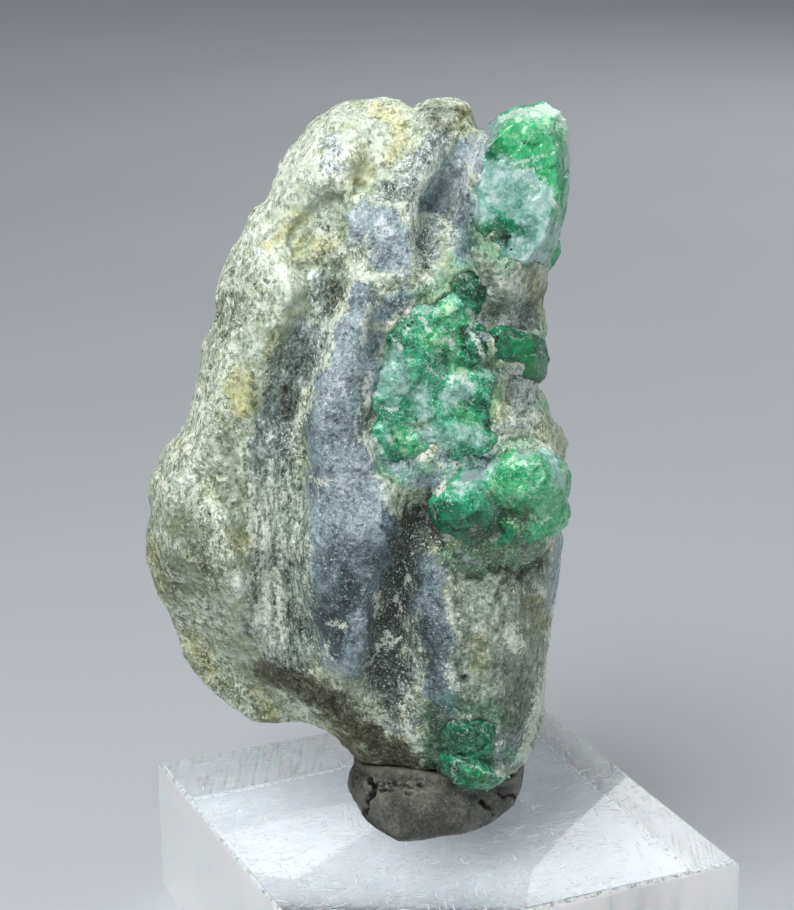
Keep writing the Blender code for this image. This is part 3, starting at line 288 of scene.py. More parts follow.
CRYSTAL_REGIONS = {
    # Lighter green; the wide stroke on the nodule's right lobes also paints light where they face away from
    # the lamps.
    "bright": [
        (1.8, [(4.8, 56.3), (6.6, 56.6)]), (0.9, [(7.1, 54.3), (7.2, 52.4), (6.8, 51.2)]),
        (0.8, [(7.3, 49.4)]), (2.3, [(5.4, 34.2), (6.8, 33.6)]), (1.6, [(6.4, 31.8), (7.6, 31.0)]),
        (0.7, [(4.9, 31.0)]), (0.8, [(0.9, 43.2), (-0.6, 43.6)]), (0.8, [(-2.4, 36.8), (-1.8, 36.0)]),
        (0.6, [(1.0, 42.0), (1.4, 41.2)]), (0.7, [(1.6, 38.6), (2.4, 37.6)]),
        (0.7, [(2.0, 12.9), (3.0, 12.4)]), (0.8, [(0.4, 45.2), (1.2, 44.6)]),
        (0.7, [(5.4, 43.0), (6.2, 41.6)]),
    ],
    "deep": [
        (0.7, [(3.1, 56.1), (3.6, 55.4)]), (1.2, [(2.6, 49.8), (3.6, 50.2), (4.6, 50.3)]),
        (0.5, [(4.8, 50.8), (6.0, 50.9)]), (0.6, [(-2.9, 44.7), (-3.0, 43.4), (-2.0, 43.1)]),
        (0.4, [(0.4, 42.3), (1.9, 41.9)]), (0.4, [(-2.5, 35.2)]), (0.6, [(2.4, 39.4), (3.1, 38.0)]),
        (0.75, [(1.6, 46.9), (2.6, 46.6), (2.2, 47.2)]), (1.9, [(3.8, 43.3), (5.6, 42.8), (6.6, 41.6)]),
        (1.3, [(0.6, 31.2), (1.2, 29.9), (2.2, 30.4)]), (1.1, [(3.0, 30.8), (3.4, 29.4), (5.0, 29.8)]),
        (2.1, [(1.0, 16.0), (3.2, 15.2)]), (0.9, [(0.7, 13.4)]), (1.1, [(4.6, 30.8), (5.2, 31.4)]),
        (0.6, [(2.0, 43.8), (2.2, 42.6)]), (0.8, [(2.0, 12.5), (3.8, 12.1)]),
    ],
    "milk": [
        (1.3, [(3.8, 54.0), (3.2, 53.2), (2.6, 52.2)]), (1.5, [(4.6, 53.0), (5.8, 52.2)]),
        (1.1, [(5.0, 49.1), (6.2, 49.6), (6.9, 50.3)]), (1.1, [(-3.2, 41.9), (-3.0, 40.2)]),
        (0.6, [(-1.2, 40.0), (-0.9, 38.6)]), (0.7, [(-0.6, 37.0), (0.9, 36.8)]),
        (0.5, [(-0.9, 45.6), (-0.5, 46.2)]), (0.6, [(3.9, 40.9), (3.4, 41.8)]),
        (0.6, [(1.7, 33.6), (2.5, 34.4), (3.4, 35.0)]), (0.6, [(7.6, 35.4), (7.9, 33.8)]),
        (0.5, [(6.8, 35.8)]), (0.6, [(5.6, 35.9)]), (0.7, [(0.8, 39.4), (1.6, 40.2)]),
        (0.6, [(1.6, 37.2), (2.6, 36.8)]),
    ],
    "frost": [
        (0.4, [(-3.6, 43.8), (-3.0, 45.0), (-1.8, 46.0), (-0.6, 46.6)]),
        (0.3, [(4.0, 57.6), (5.2, 58.0), (6.6, 58.2), (7.6, 57.8), (8.1, 56.6), (8.3, 55.0),
            (8.4, 53.2)]), (0.08, [(4.0, 54.8), (5.6, 54.8), (6.6, 55.3), (7.6, 55.9)]),
        (0.12, [(5.4, 53.9), (6.0, 53.2), (6.7, 53.7)]), (0.12, [(4.6, 54.1), (5.4, 54.5), (6.2, 54.2)]),
        (0.1, [(6.9, 52.8), (7.4, 52.0)]), (0.14, [(5.8, 49.1), (6.4, 49.1)]),
        (0.26, [(0.4, 43.4), (0.9, 43.1)]), (0.2, [(1.3, 40.9), (1.9, 40.6)]),
        (0.14, [(-3.6, 38.7), (-2.8, 38.9)]), (0.14, [(-0.9, 38.0), (-0.4, 37.0)]),
        (0.16, [(2.2, 45.0), (2.1, 43.8), (2.8, 42.6), (3.4, 41.6)]), (0.1, [(5.8, 34.9), (6.7, 34.9)]),
        (0.04, [(1.2, 14.0), (1.1, 12.9), (1.5, 11.9)]),
        (0.04, [(1.3, 13.9), (2.6, 13.2), (4.0, 12.6), (4.7, 12.4)]),
        (0.18, [(-3.4, 34.6), (-3.8, 35.4), (-4.0, 36.6)]),
        (0.3, [(-1.8, 46.2), (-1.0, 46.8), (0.0, 47.0)]), (0.16, [(-2.8, 43.3), (-2.4, 42.9)]),
        (0.1, [(6.2, 31.4), (6.8, 31.0), (7.4, 31.2)]), (0.05, [(5.6, 42.3), (6.9, 42.4)]),
        (0.12, [(-0.5, 41.4), (0.1, 41.0)]), (0.16, [(-1.0, 44.8), (-0.6, 44.0)]),
        (0.14, [(-2.6, 45.4), (-2.0, 45.0)]), (0.14, [(0.0, 36.4), (0.4, 35.8)]),
        (0.14, [(-3.4, 37.2), (-3.0, 36.4)]), (0.12, [(1.0, 41.2), (0.8, 40.4)]),
    ],
    "speck": [
        (0.14, [(4.15, 50.25), (4.3, 50.05)]), (0.12, [(4.5, 50.15)]), (0.1, [(4.25, 49.75)]),
        (0.1, [(3.95, 50.0)]), (0.1, [(3.85, 49.35)]), (0.1, [(4.6, 49.3)]), (0.1, [(5.3, 56.0)]),
        (0.07, [(4.75, 50.45)]), (0.1, [(3.8, 43.6), (3.7, 43.2)]), (0.1, [(-2.2, 35.4)]),
        (0.08, [(6.9, 56.6)]), (0.08, [(4.9, 49.9)]),
    ],
    "slate": [
        (0.7, [(2.6, 56.2), (2.9, 57.2), (3.1, 58.2)]), (0.3, [(1.9, 34.0), (2.7, 34.6)]),
        (0.2, [(4.0, 31.6)]), (0.3, [(0.2, 16.6), (0.4, 18.0)]), (0.3, [(4.2, 15.4), (4.4, 13.6)]),
        (0.2, [(1.4, 28.8), (2.4, 28.2)]),
    ],
    "stain": [
        (0.4, [(4.6, 32.0), (5.3, 30.9)]), (0.35, [(3.4, 32.8), (3.8, 31.4), (3.7, 29.8), (2.8, 29.8)]),
        (0.6, [(6.9, 29.4), (6.2, 28.9)]), (0.5, [(5.8, 31.4), (5.6, 30.2)]),
        (1.3, [(0.8, 28.5), (3.6, 27.9), (6.2, 28.4)]), (0.4, [(2.4, 30.2), (3.4, 29.2)]),
        (0.6, [(2.2, 48.2), (3.0, 48.0), (4.6, 47.8)]), (0.4, [(-1.6, 37.6), (-0.4, 38.0)]),
        (0.5, [(5.6, 36.1), (6.3, 36.2)]), (0.4, [(3.6, 35.4), (4.6, 36.0)]),
        (0.5, [(1.8, 51.0), (2.2, 49.4)]), (0.5, [(2.9, 49.8), (3.7, 50.2)]),
        (0.3, [(0.2, 17.0), (-0.2, 14.6)]), (0.4, [(0.9, 47.4), (1.6, 47.6)]), (0.4, [(3.7, 40.2)]),
    ],
}

# How gradually a region fades at its edge, in millimetres, where that isn't the usual width.
STONE_SOFTNESS = {"frost": 0.45, "pale": 1.2, "dusk": 2.4, "dawn": 2.4}
CRYSTAL_SOFTNESS = {"frost": 0.22, "speck": 0.08, "milk": 0.8}


# ---------------------------------------------------------------------------------------------------
# Points, regions and relief


def face_points(points):
    """The face frame's x, z and depth, in millimetres, of points in metres, and all three in one array."""
    x, y, z = points.T / MM
    cosine, sine = math.cos(FACE_TURN), math.sin(FACE_TURN)
    across, depth = cosine * x + sine * y, cosine * y - sine * x
    back = depth / -FACE_EYE[1]
    x, z = (across + FACE_EYE[0] * back) / (1.0 + back), (z + FACE_EYE[2] * back) / (1.0 + back)
    return x, z, depth, np.stack([x, depth, z], axis=1)


def ease(value, low, high):
    """0 below low, 1 above high, and a smooth rise between them."""
    share = np.clip((value - low) / (high - low), 0.0, 1.0)
    return share * share * (3.0 - 2.0 * share)


def line_distance(x, z, line):
    """The distance of each point from a line of one or more points."""
    nearest = np.hypot(x - line[0][0], z - line[0][1])
    for (ax, az), (bx, bz) in zip(line, line[1:]):
        run = (bx - ax) ** 2 + (bz - az) ** 2
        along = np.clip(((x - ax) * (bx - ax) + (z - az) * (bz - az)) / run, 0.0, 1.0)
        nearest = np.minimum(nearest, np.hypot(x - ax - along * (bx - ax), z - az - along * (bz - az)))
    return nearest


def inside(x, z, corners):
    """Which points lie inside a polygon."""
    found = np.zeros(len(x), bool)
    for (ax, az), (bx, bz) in zip(corners, corners[1:] + corners[:1]):
        if az != bz:
            found ^= ((az > z) != (bz > z)) & (x < ax + (z - az) * (bx - ax) / (bz - az))
    return found


def reach(x, z, shapes):
    """How far inside the nearest stroke or area each point lies, in millimetres; negative outside."""
    best = np.full(len(x), -50.0)
    for half_width, line in shapes:
        if half_width is None:
            away = line_distance(x, z, line + line[:1])
            best = np.maximum(best, np.where(inside(x, z, line), away, -away))
        else:
            best = np.maximum(best, half_width - line_distance(x, z, line))
    return best


def ripple(points, size, octaves=1, seed=0.0):
    """Smooth noise, about -1 to 1, with lumps of the given size or sizes, at points in millimetres."""
    places = (points / np.array(size) + seed).tolist()
    if octaves == 1:
        return np.array([noise.noise(p) for p in places])
    return np.array([noise.fractal(p, 0.9, 2.1, octaves) for p in places])


def broken_faces(points, size, tilt, step, seed):
    """Relief of small broken faces: each cell of the rock is a plane with its own slope and level."""
    dice = np.random.default_rng(seed)
    low, high = points.min(axis=0) - size, points.max(axis=0) + size
    middles = dice.uniform(low, high, (int(np.prod((high - low) / size)), 3))
    tree = kdtree.KDTree(len(middles))
    for number, middle in enumerate(middles):
        tree.insert(middle, number)
    tree.balance()
    nearest = np.array([tree.find(point)[1] for point in points])
    slopes = dice.normal(0.0, tilt, middles.shape)
    levels = dice.uniform(-step, step, len(middles))
    return levels[nearest] + ((points - middles[nearest]) * slopes[nearest]).sum(axis=1)


def clear_selection():
    """Leaves object mode with nothing selected."""
    if bpy.context.object and bpy.context.object.mode != "OBJECT":
        bpy.ops.object.mode_set(mode="OBJECT")
    bpy.ops.object.select_all(action="DESELECT")


def take(piece):
    """Selects one piece alone and makes it the active one."""
    clear_selection()
    piece.select_set(True)
    bpy.context.view_layer.objects.active = piece


def modify(piece, kind, **settings):
    """Adds one modifier to a piece and applies it."""
    take(piece)
    modifier = piece.modifiers.new(kind.title(), kind)
    for name, value in settings.items():
        setattr(modifier, name, value)
    bpy.ops.object.modifier_apply(modifier=modifier.name)


def merged_copy(name, node, swell=0.0):
    """A new piece with one CAD node's mesh, its doubled points merged, grown by a swell in metres."""
    piece = bpy.data.objects.new(name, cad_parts[node].data.copy())
    bpy.context.scene.collection.objects.link(piece)
    take(piece)
    bpy.ops.object.mode_set(mode="EDIT")
    bpy.ops.mesh.select_all(action="SELECT")
    bpy.ops.mesh.remove_doubles(threshold=1e-6)
    bpy.ops.object.mode_set(mode="OBJECT")
    if swell:
        modify(piece, "DISPLACE", strength=swell, mid_level=0.0)
    return piece


def solid(name, parts, voxel):
    """One closed piece of the form of some parts, evenly meshed in squares of the voxel's size."""
    take(parts[0])
    for part in parts:
        part.select_set(True)
    if len(parts) > 1:
        bpy.ops.object.join()
    piece = bpy.context.object
    modify(piece, "REMESH", mode="VOXEL", voxel_size=voxel, adaptivity=0.0)
    piece.name = piece.data.name = name
    return piece


def read_points(piece):
    """A piece's points, and their normals, as arrays."""
    points = np.empty(len(piece.data.vertices) * 3, np.float32)
    normals = np.empty(len(points), np.float32)
    piece.data.vertices.foreach_get("co", points)
    piece.data.vertex_normals.foreach_get("vector", normals)
    return points.reshape(-1, 3).astype(float), normals.reshape(-1, 3).astype(float)


def write_points(piece, points):
    """Gives a piece its points back."""
    piece.data.vertices.foreach_set("co", points.astype(np.float32).ravel())
    piece.data.update()


def write_mask(piece, name, values):
    """Keeps one number per point under a name that the piece's finish reads."""
    layer = piece.data.attributes.new(name, "FLOAT", "POINT")
    layer.data.foreach_set("value", values.astype(np.float32))


def averaged(piece, values, rounds):
    """Values at a piece's points, each averaged with its neighbours, some number of times."""
    edges = np.empty(len(piece.data.edges) * 2, np.int32)
    piece.data.edges.foreach_get("vertices", edges)
    first, second = edges.reshape(-1, 2).T
    size = len(values)
    count = np.bincount(np.concatenate((first, second)), minlength=size).astype(float)[:, None]
    values = values.reshape(size, -1)
    for _ in range(rounds):
        total = np.stack([
            np.bincount(first, column[second], size) + np.bincount(second, column[first], size)
            for column in values.T
        ], axis=1)
        values = (values + total / count) / 2.0
    return values


def hollows(piece, rounds):
    """How far each point lies below its surroundings, in millimetres; negative where it stands proud."""
    points, normals = read_points(piece)
    return ((averaged(piece, points, rounds) - points) * normals).sum(axis=1) / MM


def distance_to(points, nodes, limit):
    """How far points lie from the surface of the named CAD nodes, in millimetres, up to a limit."""
    found = np.full(len(points), limit)
    for node in nodes:
        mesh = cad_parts[node].data
        tree = bvhtree.BVHTree.FromPolygons(
            [v.co for v in mesh.vertices], [tuple(p.vertices) for p in mesh.polygons]
        )
        for number, point in enumerate(points):
            hit = tree.find_nearest(point, found[number] * MM)
            if hit[3] is not None:
                found[number] = min(found[number], hit[3] / MM)
    return found


# ---------------------------------------------------------------------------------------------------
# Finishes


class Shade:
    """A socket of a finish; arithmetic on it adds Math nodes."""

    def __init__(self, finish, socket):
        self.finish, self.socket = finish, socket

    def _math(self, operation, first, second=0.0):
        return self.finish.node("ShaderNodeMath", {"operation": operation}, {0: first, 1: second})

    def __add__(self, other):
        return self._math("ADD", self, other)

    def __sub__(self, other):
        return self._math("SUBTRACT", self, other)

    def __rsub__(self, other):
        return self._math("SUBTRACT", other, self)

    def __mul__(self, other):
        return self._math("MULTIPLY", self, other)

    __radd__, __rmul__ = __add__, __mul__

    def most(self, other):
        """The larger of this and another."""
        return self._math("MAXIMUM", self, other)

    def between(self, low, high):
        """A smooth rise from 0 at low to 1 at high; high may be the smaller."""
        return self.finish.node(
            "ShaderNodeMapRange", {"interpolation_type": "SMOOTHSTEP"},
            {"Value": self, "From Min": low, "From Max": high},
        )


class Finish:
    """A material made of nodes, with one Principled surface."""

    def __init__(self, name, **constants):
        self.material = bpy.data.materials.new(name)
        self.material.use_nodes = True
        self.tree = self.material.node_tree
        self.surface = self.tree.nodes["Principled BSDF"]
        self.set(**constants)
        self.turned = self.node(
            "ShaderNodeMapping", {}, {
                "Vector": self.node("ShaderNodeTexCoord", {}, {}, "Object"),
                "Rotation": (0.0, 0.0, -FACE_TURN), "Scale": (1.0 / MM,) * 3,
            },
        )

    def node(self, kind, settings, sockets, output=0):
        """A node of a kind, with its settings first and then the values or links of its sockets."""
        made = self.tree.nodes.new(kind)
        for name, value in settings.items():
            if name == "stops":
                ramp = made.color_ramp
                while len(ramp.elements) < len(value):
                    ramp.elements.new(0.5)
                for stop, (position, colour) in zip(ramp.elements, value):
                    stop.position, stop.color = position, (*colour, 1.0)
            else:
                setattr(made, name, value)
        for name, value in sockets.items():
            self.plug(made.inputs[name], value)
        return Shade(self, made.outputs[output])

    def plug(self, socket, value):
        """Links a socket, or sets its value."""
        if isinstance(value, Shade):
            self.tree.links.new(value.socket, socket)
        elif hasattr(value, "__len__") and len(value) == 3 and socket.type == "RGBA":
            socket.default_value = (*value, 1.0)
        else:
            socket.default_value = value

    def set(self, **values):
        """Sets or links sockets of the surface, named with underscores for spaces."""
        for name, value in values.items():
            self.plug(self.surface.inputs[name.replace("_", " ")], value)

    def mask(self, name):
        """One of the piece's own numbers."""
        return self.node("ShaderNodeAttribute", {"attribute_name": name}, {}, "Fac")

    def vector(self, operation, *values):
        """A Vector Math node of up to three vectors."""
        return self.node("ShaderNodeVectorMath", {"operation": operation}, dict(enumerate(values)))

    def stretched(self, sizes):
        """The face frame's coordinates divided by a size along each axis, in millimetres."""
        return self.vector("DIVIDE", self.turned, tuple(sizes))

    def clouds(self, size, detail=2.0, rough=0.5, output=0, shift=0.0):
        """Noise from about 0.25 to 0.75 with lumps of a size, or of a size along each axis."""
        sizes = size if hasattr(size, "__len__") else (size,) * 3
        place = self.stretched(sizes)
        if shift:
            place = self.vector("ADD", place, (shift,) * 3)
        sockets = {"Vector": place, "Scale": 1.0, "Detail": detail, "Roughness": rough}
        return self.node("ShaderNodeTexNoise", {}, sockets, output)

    def waves(self, size, detail=2.0, rough=0.5, shift=0.0):
        """The same noise about 0."""
        return self.clouds(size, detail, rough, shift=shift) - 0.5

    def veins(self, size, detail, rough, shift, width):
        """Thin winding lines, where that noise crosses 0."""
        bend = self.waves(size, detail, rough, shift)
        return (bend * bend).between(width, 0.0)

    def cells(self, size, output="Color", feature="F1"):
        """Cells of a size, or of a size along each axis, a little crooked."""
        sizes = size if hasattr(size, "__len__") else (size,) * 3
        crooks = self.clouds(sizes, 2.0, 0.6, "Color")
        bent = self.vector("MULTIPLY_ADD", crooks, (0.9,) * 3, self.stretched(sizes))
        return self.voronoi(bent, output, feature)

    def voronoi(self, place, output, feature="F1"):
        """Cells of size 1 at a place."""
        sockets = {"Vector": place, "Scale": 1.0}
        return self.node("ShaderNodeTexVoronoi", {"feature": feature}, sockets, output)

    def red(self, colour):
        """The red part of a colour, as a number."""
        return self.node("ShaderNodeSeparateColor", {}, {0: colour})

    def ramp(self, value, stops):
        """A colour looked up along stops of (position, colour)."""
        return self.node("ShaderNodeValToRGB", {"stops": stops}, {0: value})

    def mix(self, share, first, second, way="MIX"):
        """Two colours mixed."""
        return self.node(
            "ShaderNodeMix", {"data_type": "RGBA", "blend_type": way}, {0: share, 6: first, 7: second}, 2
        )

    def stained(self, share, colour, stain):
        """A colour, a share of it darkened by a stain."""
        return self.mix(share, colour, self.mix(1.0, colour, stain, "MULTIPLY"))

    def regions(self, fray, borders):
        """The piece's regions: how ragged each border is, and where the region begins and is full."""
        return {
            name: (self.mask(name) + fray * ragged).between(low, high)
            for name, ragged, low, high in borders
        }

    def bump(self, height, millimetres, strength=1.0, normal=None):
        """A normal that follows a height."""
        sockets = {"Height": height, "Distance": millimetres * MM, "Strength": strength}
        if normal is not None:
            sockets["Normal"] = normal
        return self.node("ShaderNodeBump", {}, sockets)

    def glints(self, size, amount):
        """A normal tipped one way or another in each small cell, so that flakes catch the light."""
        tips = self.vector("MULTIPLY_ADD", self.cells(size), (2.0,) * 3, (-1.0,) * 3)
        scaled = self.node("ShaderNodeVectorMath", {"operation": "SCALE"}, {0: tips, "Scale": amount})
        normal = self.node("ShaderNodeNewGeometry", {}, {}, "Normal")
        return self.vector("NORMALIZE", self.vector("ADD", normal, scaled))


def stone_finish(look):
    """Mica schist in grains and streaks, blue-grey quartz, brown schist and stains, with painted shade in
    hollows, creases, the undercut and lower parts, and painted light on upper parts and proud points.
    """
    finish = Finish("schist_and_quartz", Specular_IOR_Level=0.5)
    pale, shade, hollow = finish.mask("pale"), finish.mask("shade"), finish.mask("hollow")
    fray = finish.waves(0.6, 5.0, 0.72)
    edge = finish.regions(fray, (
        ("quartz", 2.0, 0.26, 0.8), ("valley", 2.2, 0.3, 0.7), ("streak", 2.2, 0.34, 0.7),
        ("brown", 2.0, 0.2, 0.8), ("umber", 1.8, 0.2, 0.85), ("ochre", 2.4, 0.2, 1.1),
        ("smooth", 1.6, 0.25, 0.8), ("green", 1.6, 0.25, 1.0),
    ))
    frost = (finish.mask("frost") + finish.waves(0.26, 3.0, 0.7, shift=5.0) * 3.2).between(0.4, 0.72)

    grain = finish.waves((0.2, 0.2, 0.3), 2.0, 0.7)
    clump = finish.waves((0.6, 0.6, 0.85), 4.0, 0.66, shift=3.0)
    patch = finish.waves(3.0, 3.0, 0.55, shift=9.0)
    # Broad painted light and painted shade: lighter on the upper lobes and on faces turned down, darker on
    # the lower ridge, the seams and the undercut.
    lit_and_shaded_patches = finish.mask("dawn") * 0.19 - finish.mask("dusk") * 0.24
    # The tone shift of every schist: pale stone, painted shade from the shade strokes, the broad painted
    # light and shade, and painted shade in hollows with painted light on proud points.
    lift = pale * 0.13 - shade * 0.17 + lit_and_shaded_patches - hollow * look.hollow_shade_strength
    flecky = (1.0 - edge["smooth"] * 0.7) * (0.5 + (patch + 0.5).between(0.42, 0.52) * 0.5)
    plate = finish.red(finish.cells((0.4, 0.4, 0.55))) - 0.5
    tone = (grain * 1.8 + plate * 0.34) * flecky + clump * (0.4 + flecky * 0.95) + patch * 0.7 + lift + 0.5
    schist = finish.ramp(tone - edge["smooth"] * 0.08, [
        (0.04, tint(96, 104, 82)), (0.27, tint(137, 148, 122)), (0.47, tint(169, 182, 157)),
        (0.64, tint(200, 213, 190)), (0.8, tint(226, 236, 215)), (0.96, tint(248, 252, 242)),
    ])

    cloud = finish.waves((1.6, 1.6, 2.2), 4.0, 0.6, shift=2.0)
    sugar = finish.waves(0.17, 3.0, 0.7, shift=7.0)
    facet = finish.red(finish.cells(0.8)) - 0.5
    # The quartz tone takes the same painted shade and painted light.
    tone = cloud + sugar * 0.9 + facet * 0.12 + pale * 0.18 - shade * 0.28 + lit_and_shaded_patches - hollow * 0.8 + 0.46
    glassy = finish.ramp(tone, [
        (0.04, tint(58, 70, 73)), (0.27, tint(98, 115, 121)), (0.48, tint(139, 160, 166)),
        (0.68, tint(176, 196, 200)), (0.92, tint(238, 245, 246)),
    ])

    streaks = finish.waves((0.2, 0.4, 1.3), 4.0, 0.75, shift=4.0)
    leaf = finish.red(finish.cells((0.22, 0.3, 1.2))) - 0.5
    foliated = finish.ramp(streaks * 1.7 + grain + leaf * 0.25 + clump * 0.9 + lift * 1.2 + 0.5, [
        (0.04, tint(62, 72, 68)), (0.27, tint(104, 117, 108)), (0.5, tint(146, 160, 147)),
        (0.7, tint(194, 206, 188)), (0.92, tint(246, 250, 240)),
    ])
    silver = finish.clouds(0.2, 2.0, 0.6, shift=14.0).between(0.56, 0.64)
    tone = grain * 1.3 + plate * 0.3 + streaks * 0.8 + clump * 0.8 + lift * 1.1 + silver * 0.2 + 0.48
    salty = finish.ramp(tone, [
        (0.04, tint(66, 73, 67)), (0.28, tint(104, 115, 108)), (0.52, tint(142, 156, 149)),
        (0.74, tint(184, 197, 191)), (0.95, tint(238, 245, 244)),
    ])
    earthy = finish.ramp(grain * 0.8 + plate * 0.16 + clump * 1.1 + patch * 0.5 + lift * 1.1 + 0.52, [
        (0.06, tint(62, 68, 55)), (0.3, tint(102, 113, 97)), (0.52, tint(134, 147, 132)),
        (0.74, tint(168, 180, 162)), (0.95, tint(224, 232, 218)),
    ])

    warm = finish.clouds(1.9, 3.0, 0.6, shift=23.0).between(0.5, 0.64) * 0.5
    schist = finish.stained(warm, schist, tint(252, 245, 214))
    crust = finish.veins(2.6, 5.0, 0.66, 27.0, 0.0009)
    crust *= finish.clouds(1.4, 2.0, 0.6, shift=29.0).between(0.44, 0.56)
    schist = finish.mix(crust * 0.5, schist, tint(240, 247, 232))
    colour = finish.mix(edge["brown"], schist, earthy)
    colour = finish.mix(edge["valley"], colour, salty)
    colour = finish.mix(edge["streak"], colour, foliated)
    colour = finish.mix(edge["quartz"], colour, glassy)
    # Umber: a real brown stain, and painted shade in the undercut and in crevices under ledges.
    colour = finish.stained(edge["umber"] * 0.9, colour, tint(128, 116, 94))
    colour = finish.mix(frost * 0.85, colour, tint(234, 241, 224))
    colour = finish.stained(edge["ochre"] * 0.7, colour, tint(240, 226, 168))
    colour = finish.stained(edge["green"] * 0.7, colour, tint(140, 214, 176))
    sugary = finish.clouds(0.3, 3.0, 0.7, shift=19.0).between(0.6, 0.66) * edge["quartz"] * 0.5
    colour = finish.mix(sugary, colour, tint(228, 237, 241))
    calm = (edge["smooth"] * 0.6 + edge["quartz"] * 0.6).most(edge["brown"] * 0.5).most(edge["umber"] * 0.8)
    speck = finish.clouds(0.14, 1.0, 0.5, shift=11.0).between(0.62, 0.68) * (1.0 - calm)
    colour = finish.mix(speck * 0.75, colour, tint(249, 252, 246))
    pit = finish.clouds(0.17, 1.0, 0.5, shift=16.0).between(0.34, 0.29) * (1.0 - calm)
    colour = finish.mix(pit * 0.4, colour, tint(78, 86, 70))
    finish.set(Base_Color=colour)

    flake = finish.clouds(0.3, 2.0, 0.6, shift=13.0).between(0.52, 0.64)
    mica = edge["valley"] * 0.9 + edge["streak"] * 0.6 + edge["quartz"] * 0.6 + edge["brown"] * 0.7
    shine = (mica + 0.25) * flake
    finish.set(Roughness=0.73 - shine * 0.55 - edge["quartz"] * 0.12)
    height = grain * (1.0 - edge["smooth"] * 0.5) + clump * 0.8 + streaks * edge["streak"]
    height -= sugar * edge["quartz"] * 0.5
    finish.set(Normal=finish.bump(height, 0.2, 0.85, finish.glints(0.26, 0.5)))
    return finish.material


def emerald_finish(look):
    """Emerald with milky clouds, whitish fractures, deep clear places and dark specks, with painted shade
    in hollows and painted highlight flecks.
    """
    finish = Finish(
        "emerald_crystal", IOR=1.58, Specular_IOR_Level=0.36, Transmission_Weight=look.clearness,
        Subsurface_Weight=0.35, Subsurface_Scale=0.001, Subsurface_Radius=(0.4, 1.0, 0.6),
        Coat_Roughness=0.06, Coat_IOR=1.5,
    )
    fray = finish.waves(0.5, 5.0, 0.7)
    edge = finish.regions(fray, (
        ("milk", 2.2, 0.25, 0.85), ("bright", 1.2, 0.2, 0.9), ("deep", 1.8, 0.25, 0.8),
        ("stain", 1.8, 0.2, 1.0), ("slate", 1.8, 0.3, 0.8),
    ))
    frost = (finish.mask("frost") + finish.waves(0.2, 3.0, 0.7, shift=5.0) * 3.4).between(0.36, 0.78)
    granular, rim, hollow = finish.mask("granular"), finish.mask("rim"), finish.mask("hollow")

    cloud = finish.waves(0.9, 4.0, 0.65, shift=2.0)
    shard = (finish.red(finish.cells(0.8)) - 0.5) * 0.7 + (finish.red(finish.cells(0.34)) - 0.5) * 0.45
    fine = finish.waves(0.18, 2.0, 0.6, shift=6.0)
    tone = cloud * (granular * 0.5 + 0.65) + shard * (granular * 0.44 + 0.05)
    tone += fine * (granular * 0.65 + 0.1)
    # Hollows are painted darker here: painted shade.
    green = finish.ramp(tone + edge["bright"] * 0.16 - edge["deep"] * 0.34 - hollow * 0.5 + 0.53, [
        (0.06, look.deep), (0.28, look.middle), (0.52, look.bright), (0.74, look.pale),
        (0.96, tint(214, 238, 224)),
    ])
    colour = finish.stained(edge["bright"] * 0.7, green, tint(206, 255, 184))
    milky = finish.ramp(cloud * 1.9 + fine * 0.7 + 0.52, [
        (0.15, tint(122, 176, 167)), (0.5, tint(172, 209, 204)), (0.85, tint(220, 236, 238)),
    ])
    milky = finish.stained(granular * 0.6, milky, tint(214, 238, 226))
    colour = finish.mix(edge["milk"] * (0.78 + cloud * 1.5 + fine * 0.6), colour, milky)
    quiet = 1.0 - edge["deep"] * (0.9 - granular * 0.45)
    chip = finish.clouds(0.34, 4.0, 0.75, shift=8.0).between(0.6, 0.635) * (granular * 0.55 + 0.08) * quiet
    colour = finish.mix(chip, colour, tint(148, 218, 187))
    seam = finish.cells(0.75, "Distance", "DISTANCE_TO_EDGE").between(0.05, 0.0) * granular * 0.28 * quiet
    veil = finish.veins(1.7, 3.0, 0.6, 15.0, 0.0006)
    veil *= finish.clouds(1.1, 2.0, 0.6, shift=18.0).between(0.46, 0.58)
    colour = finish.mix(seam.most(veil * quiet * 0.5), colour, tint(184, 228, 206))
    colour = finish.mix(frost * 0.8, colour, tint(216, 236, 224))
    crumbs = finish.ramp(fine * 1.7 + cloud * 0.9 + 0.5, [
        (0.1, tint(50, 58, 44)), (0.5, tint(100, 112, 88)), (0.9, tint(190, 198, 172)),
    ])
    colour = finish.mix(edge["stain"] * 0.9, colour, finish.mix(0.76, colour, crumbs))
    colour = finish.mix((rim + fray * 1.8).between(0.5, 1.2) * 0.45, colour, tint(110, 146, 122))
    colour = finish.mix(edge["slate"], colour, tint(146, 163, 166))
    colour = finish.mix((finish.mask("speck") + fray * 1.6).between(0.4, 0.75), colour, tint(28, 34, 30))
    # Painted highlights: tiny bright flecks put into the colour as glints.
    painted_highlight_flecks = finish.clouds(0.13, 1.0, 0.5, shift=12.0).between(0.64, 0.7)
    colour = finish.mix(painted_highlight_flecks * (granular * 0.6 + 0.1) * quiet, colour, tint(224, 244, 232))
    finish.set(Base_Color=colour, Roughness=0.18 + edge["milk"] * 0.2 + frost * 0.35 + granular * 0.12)
    finish.set(Coat_Weight=0.5 - edge["deep"] * 0.34)
    tipped = finish.glints(0.42, granular * 0.32 + 0.02)
    finish.set(Normal=finish.bump(cloud * 0.5 + fine * (granular * 0.5 + 0.2), 0.12, 0.6, tipped))
    return finish.material


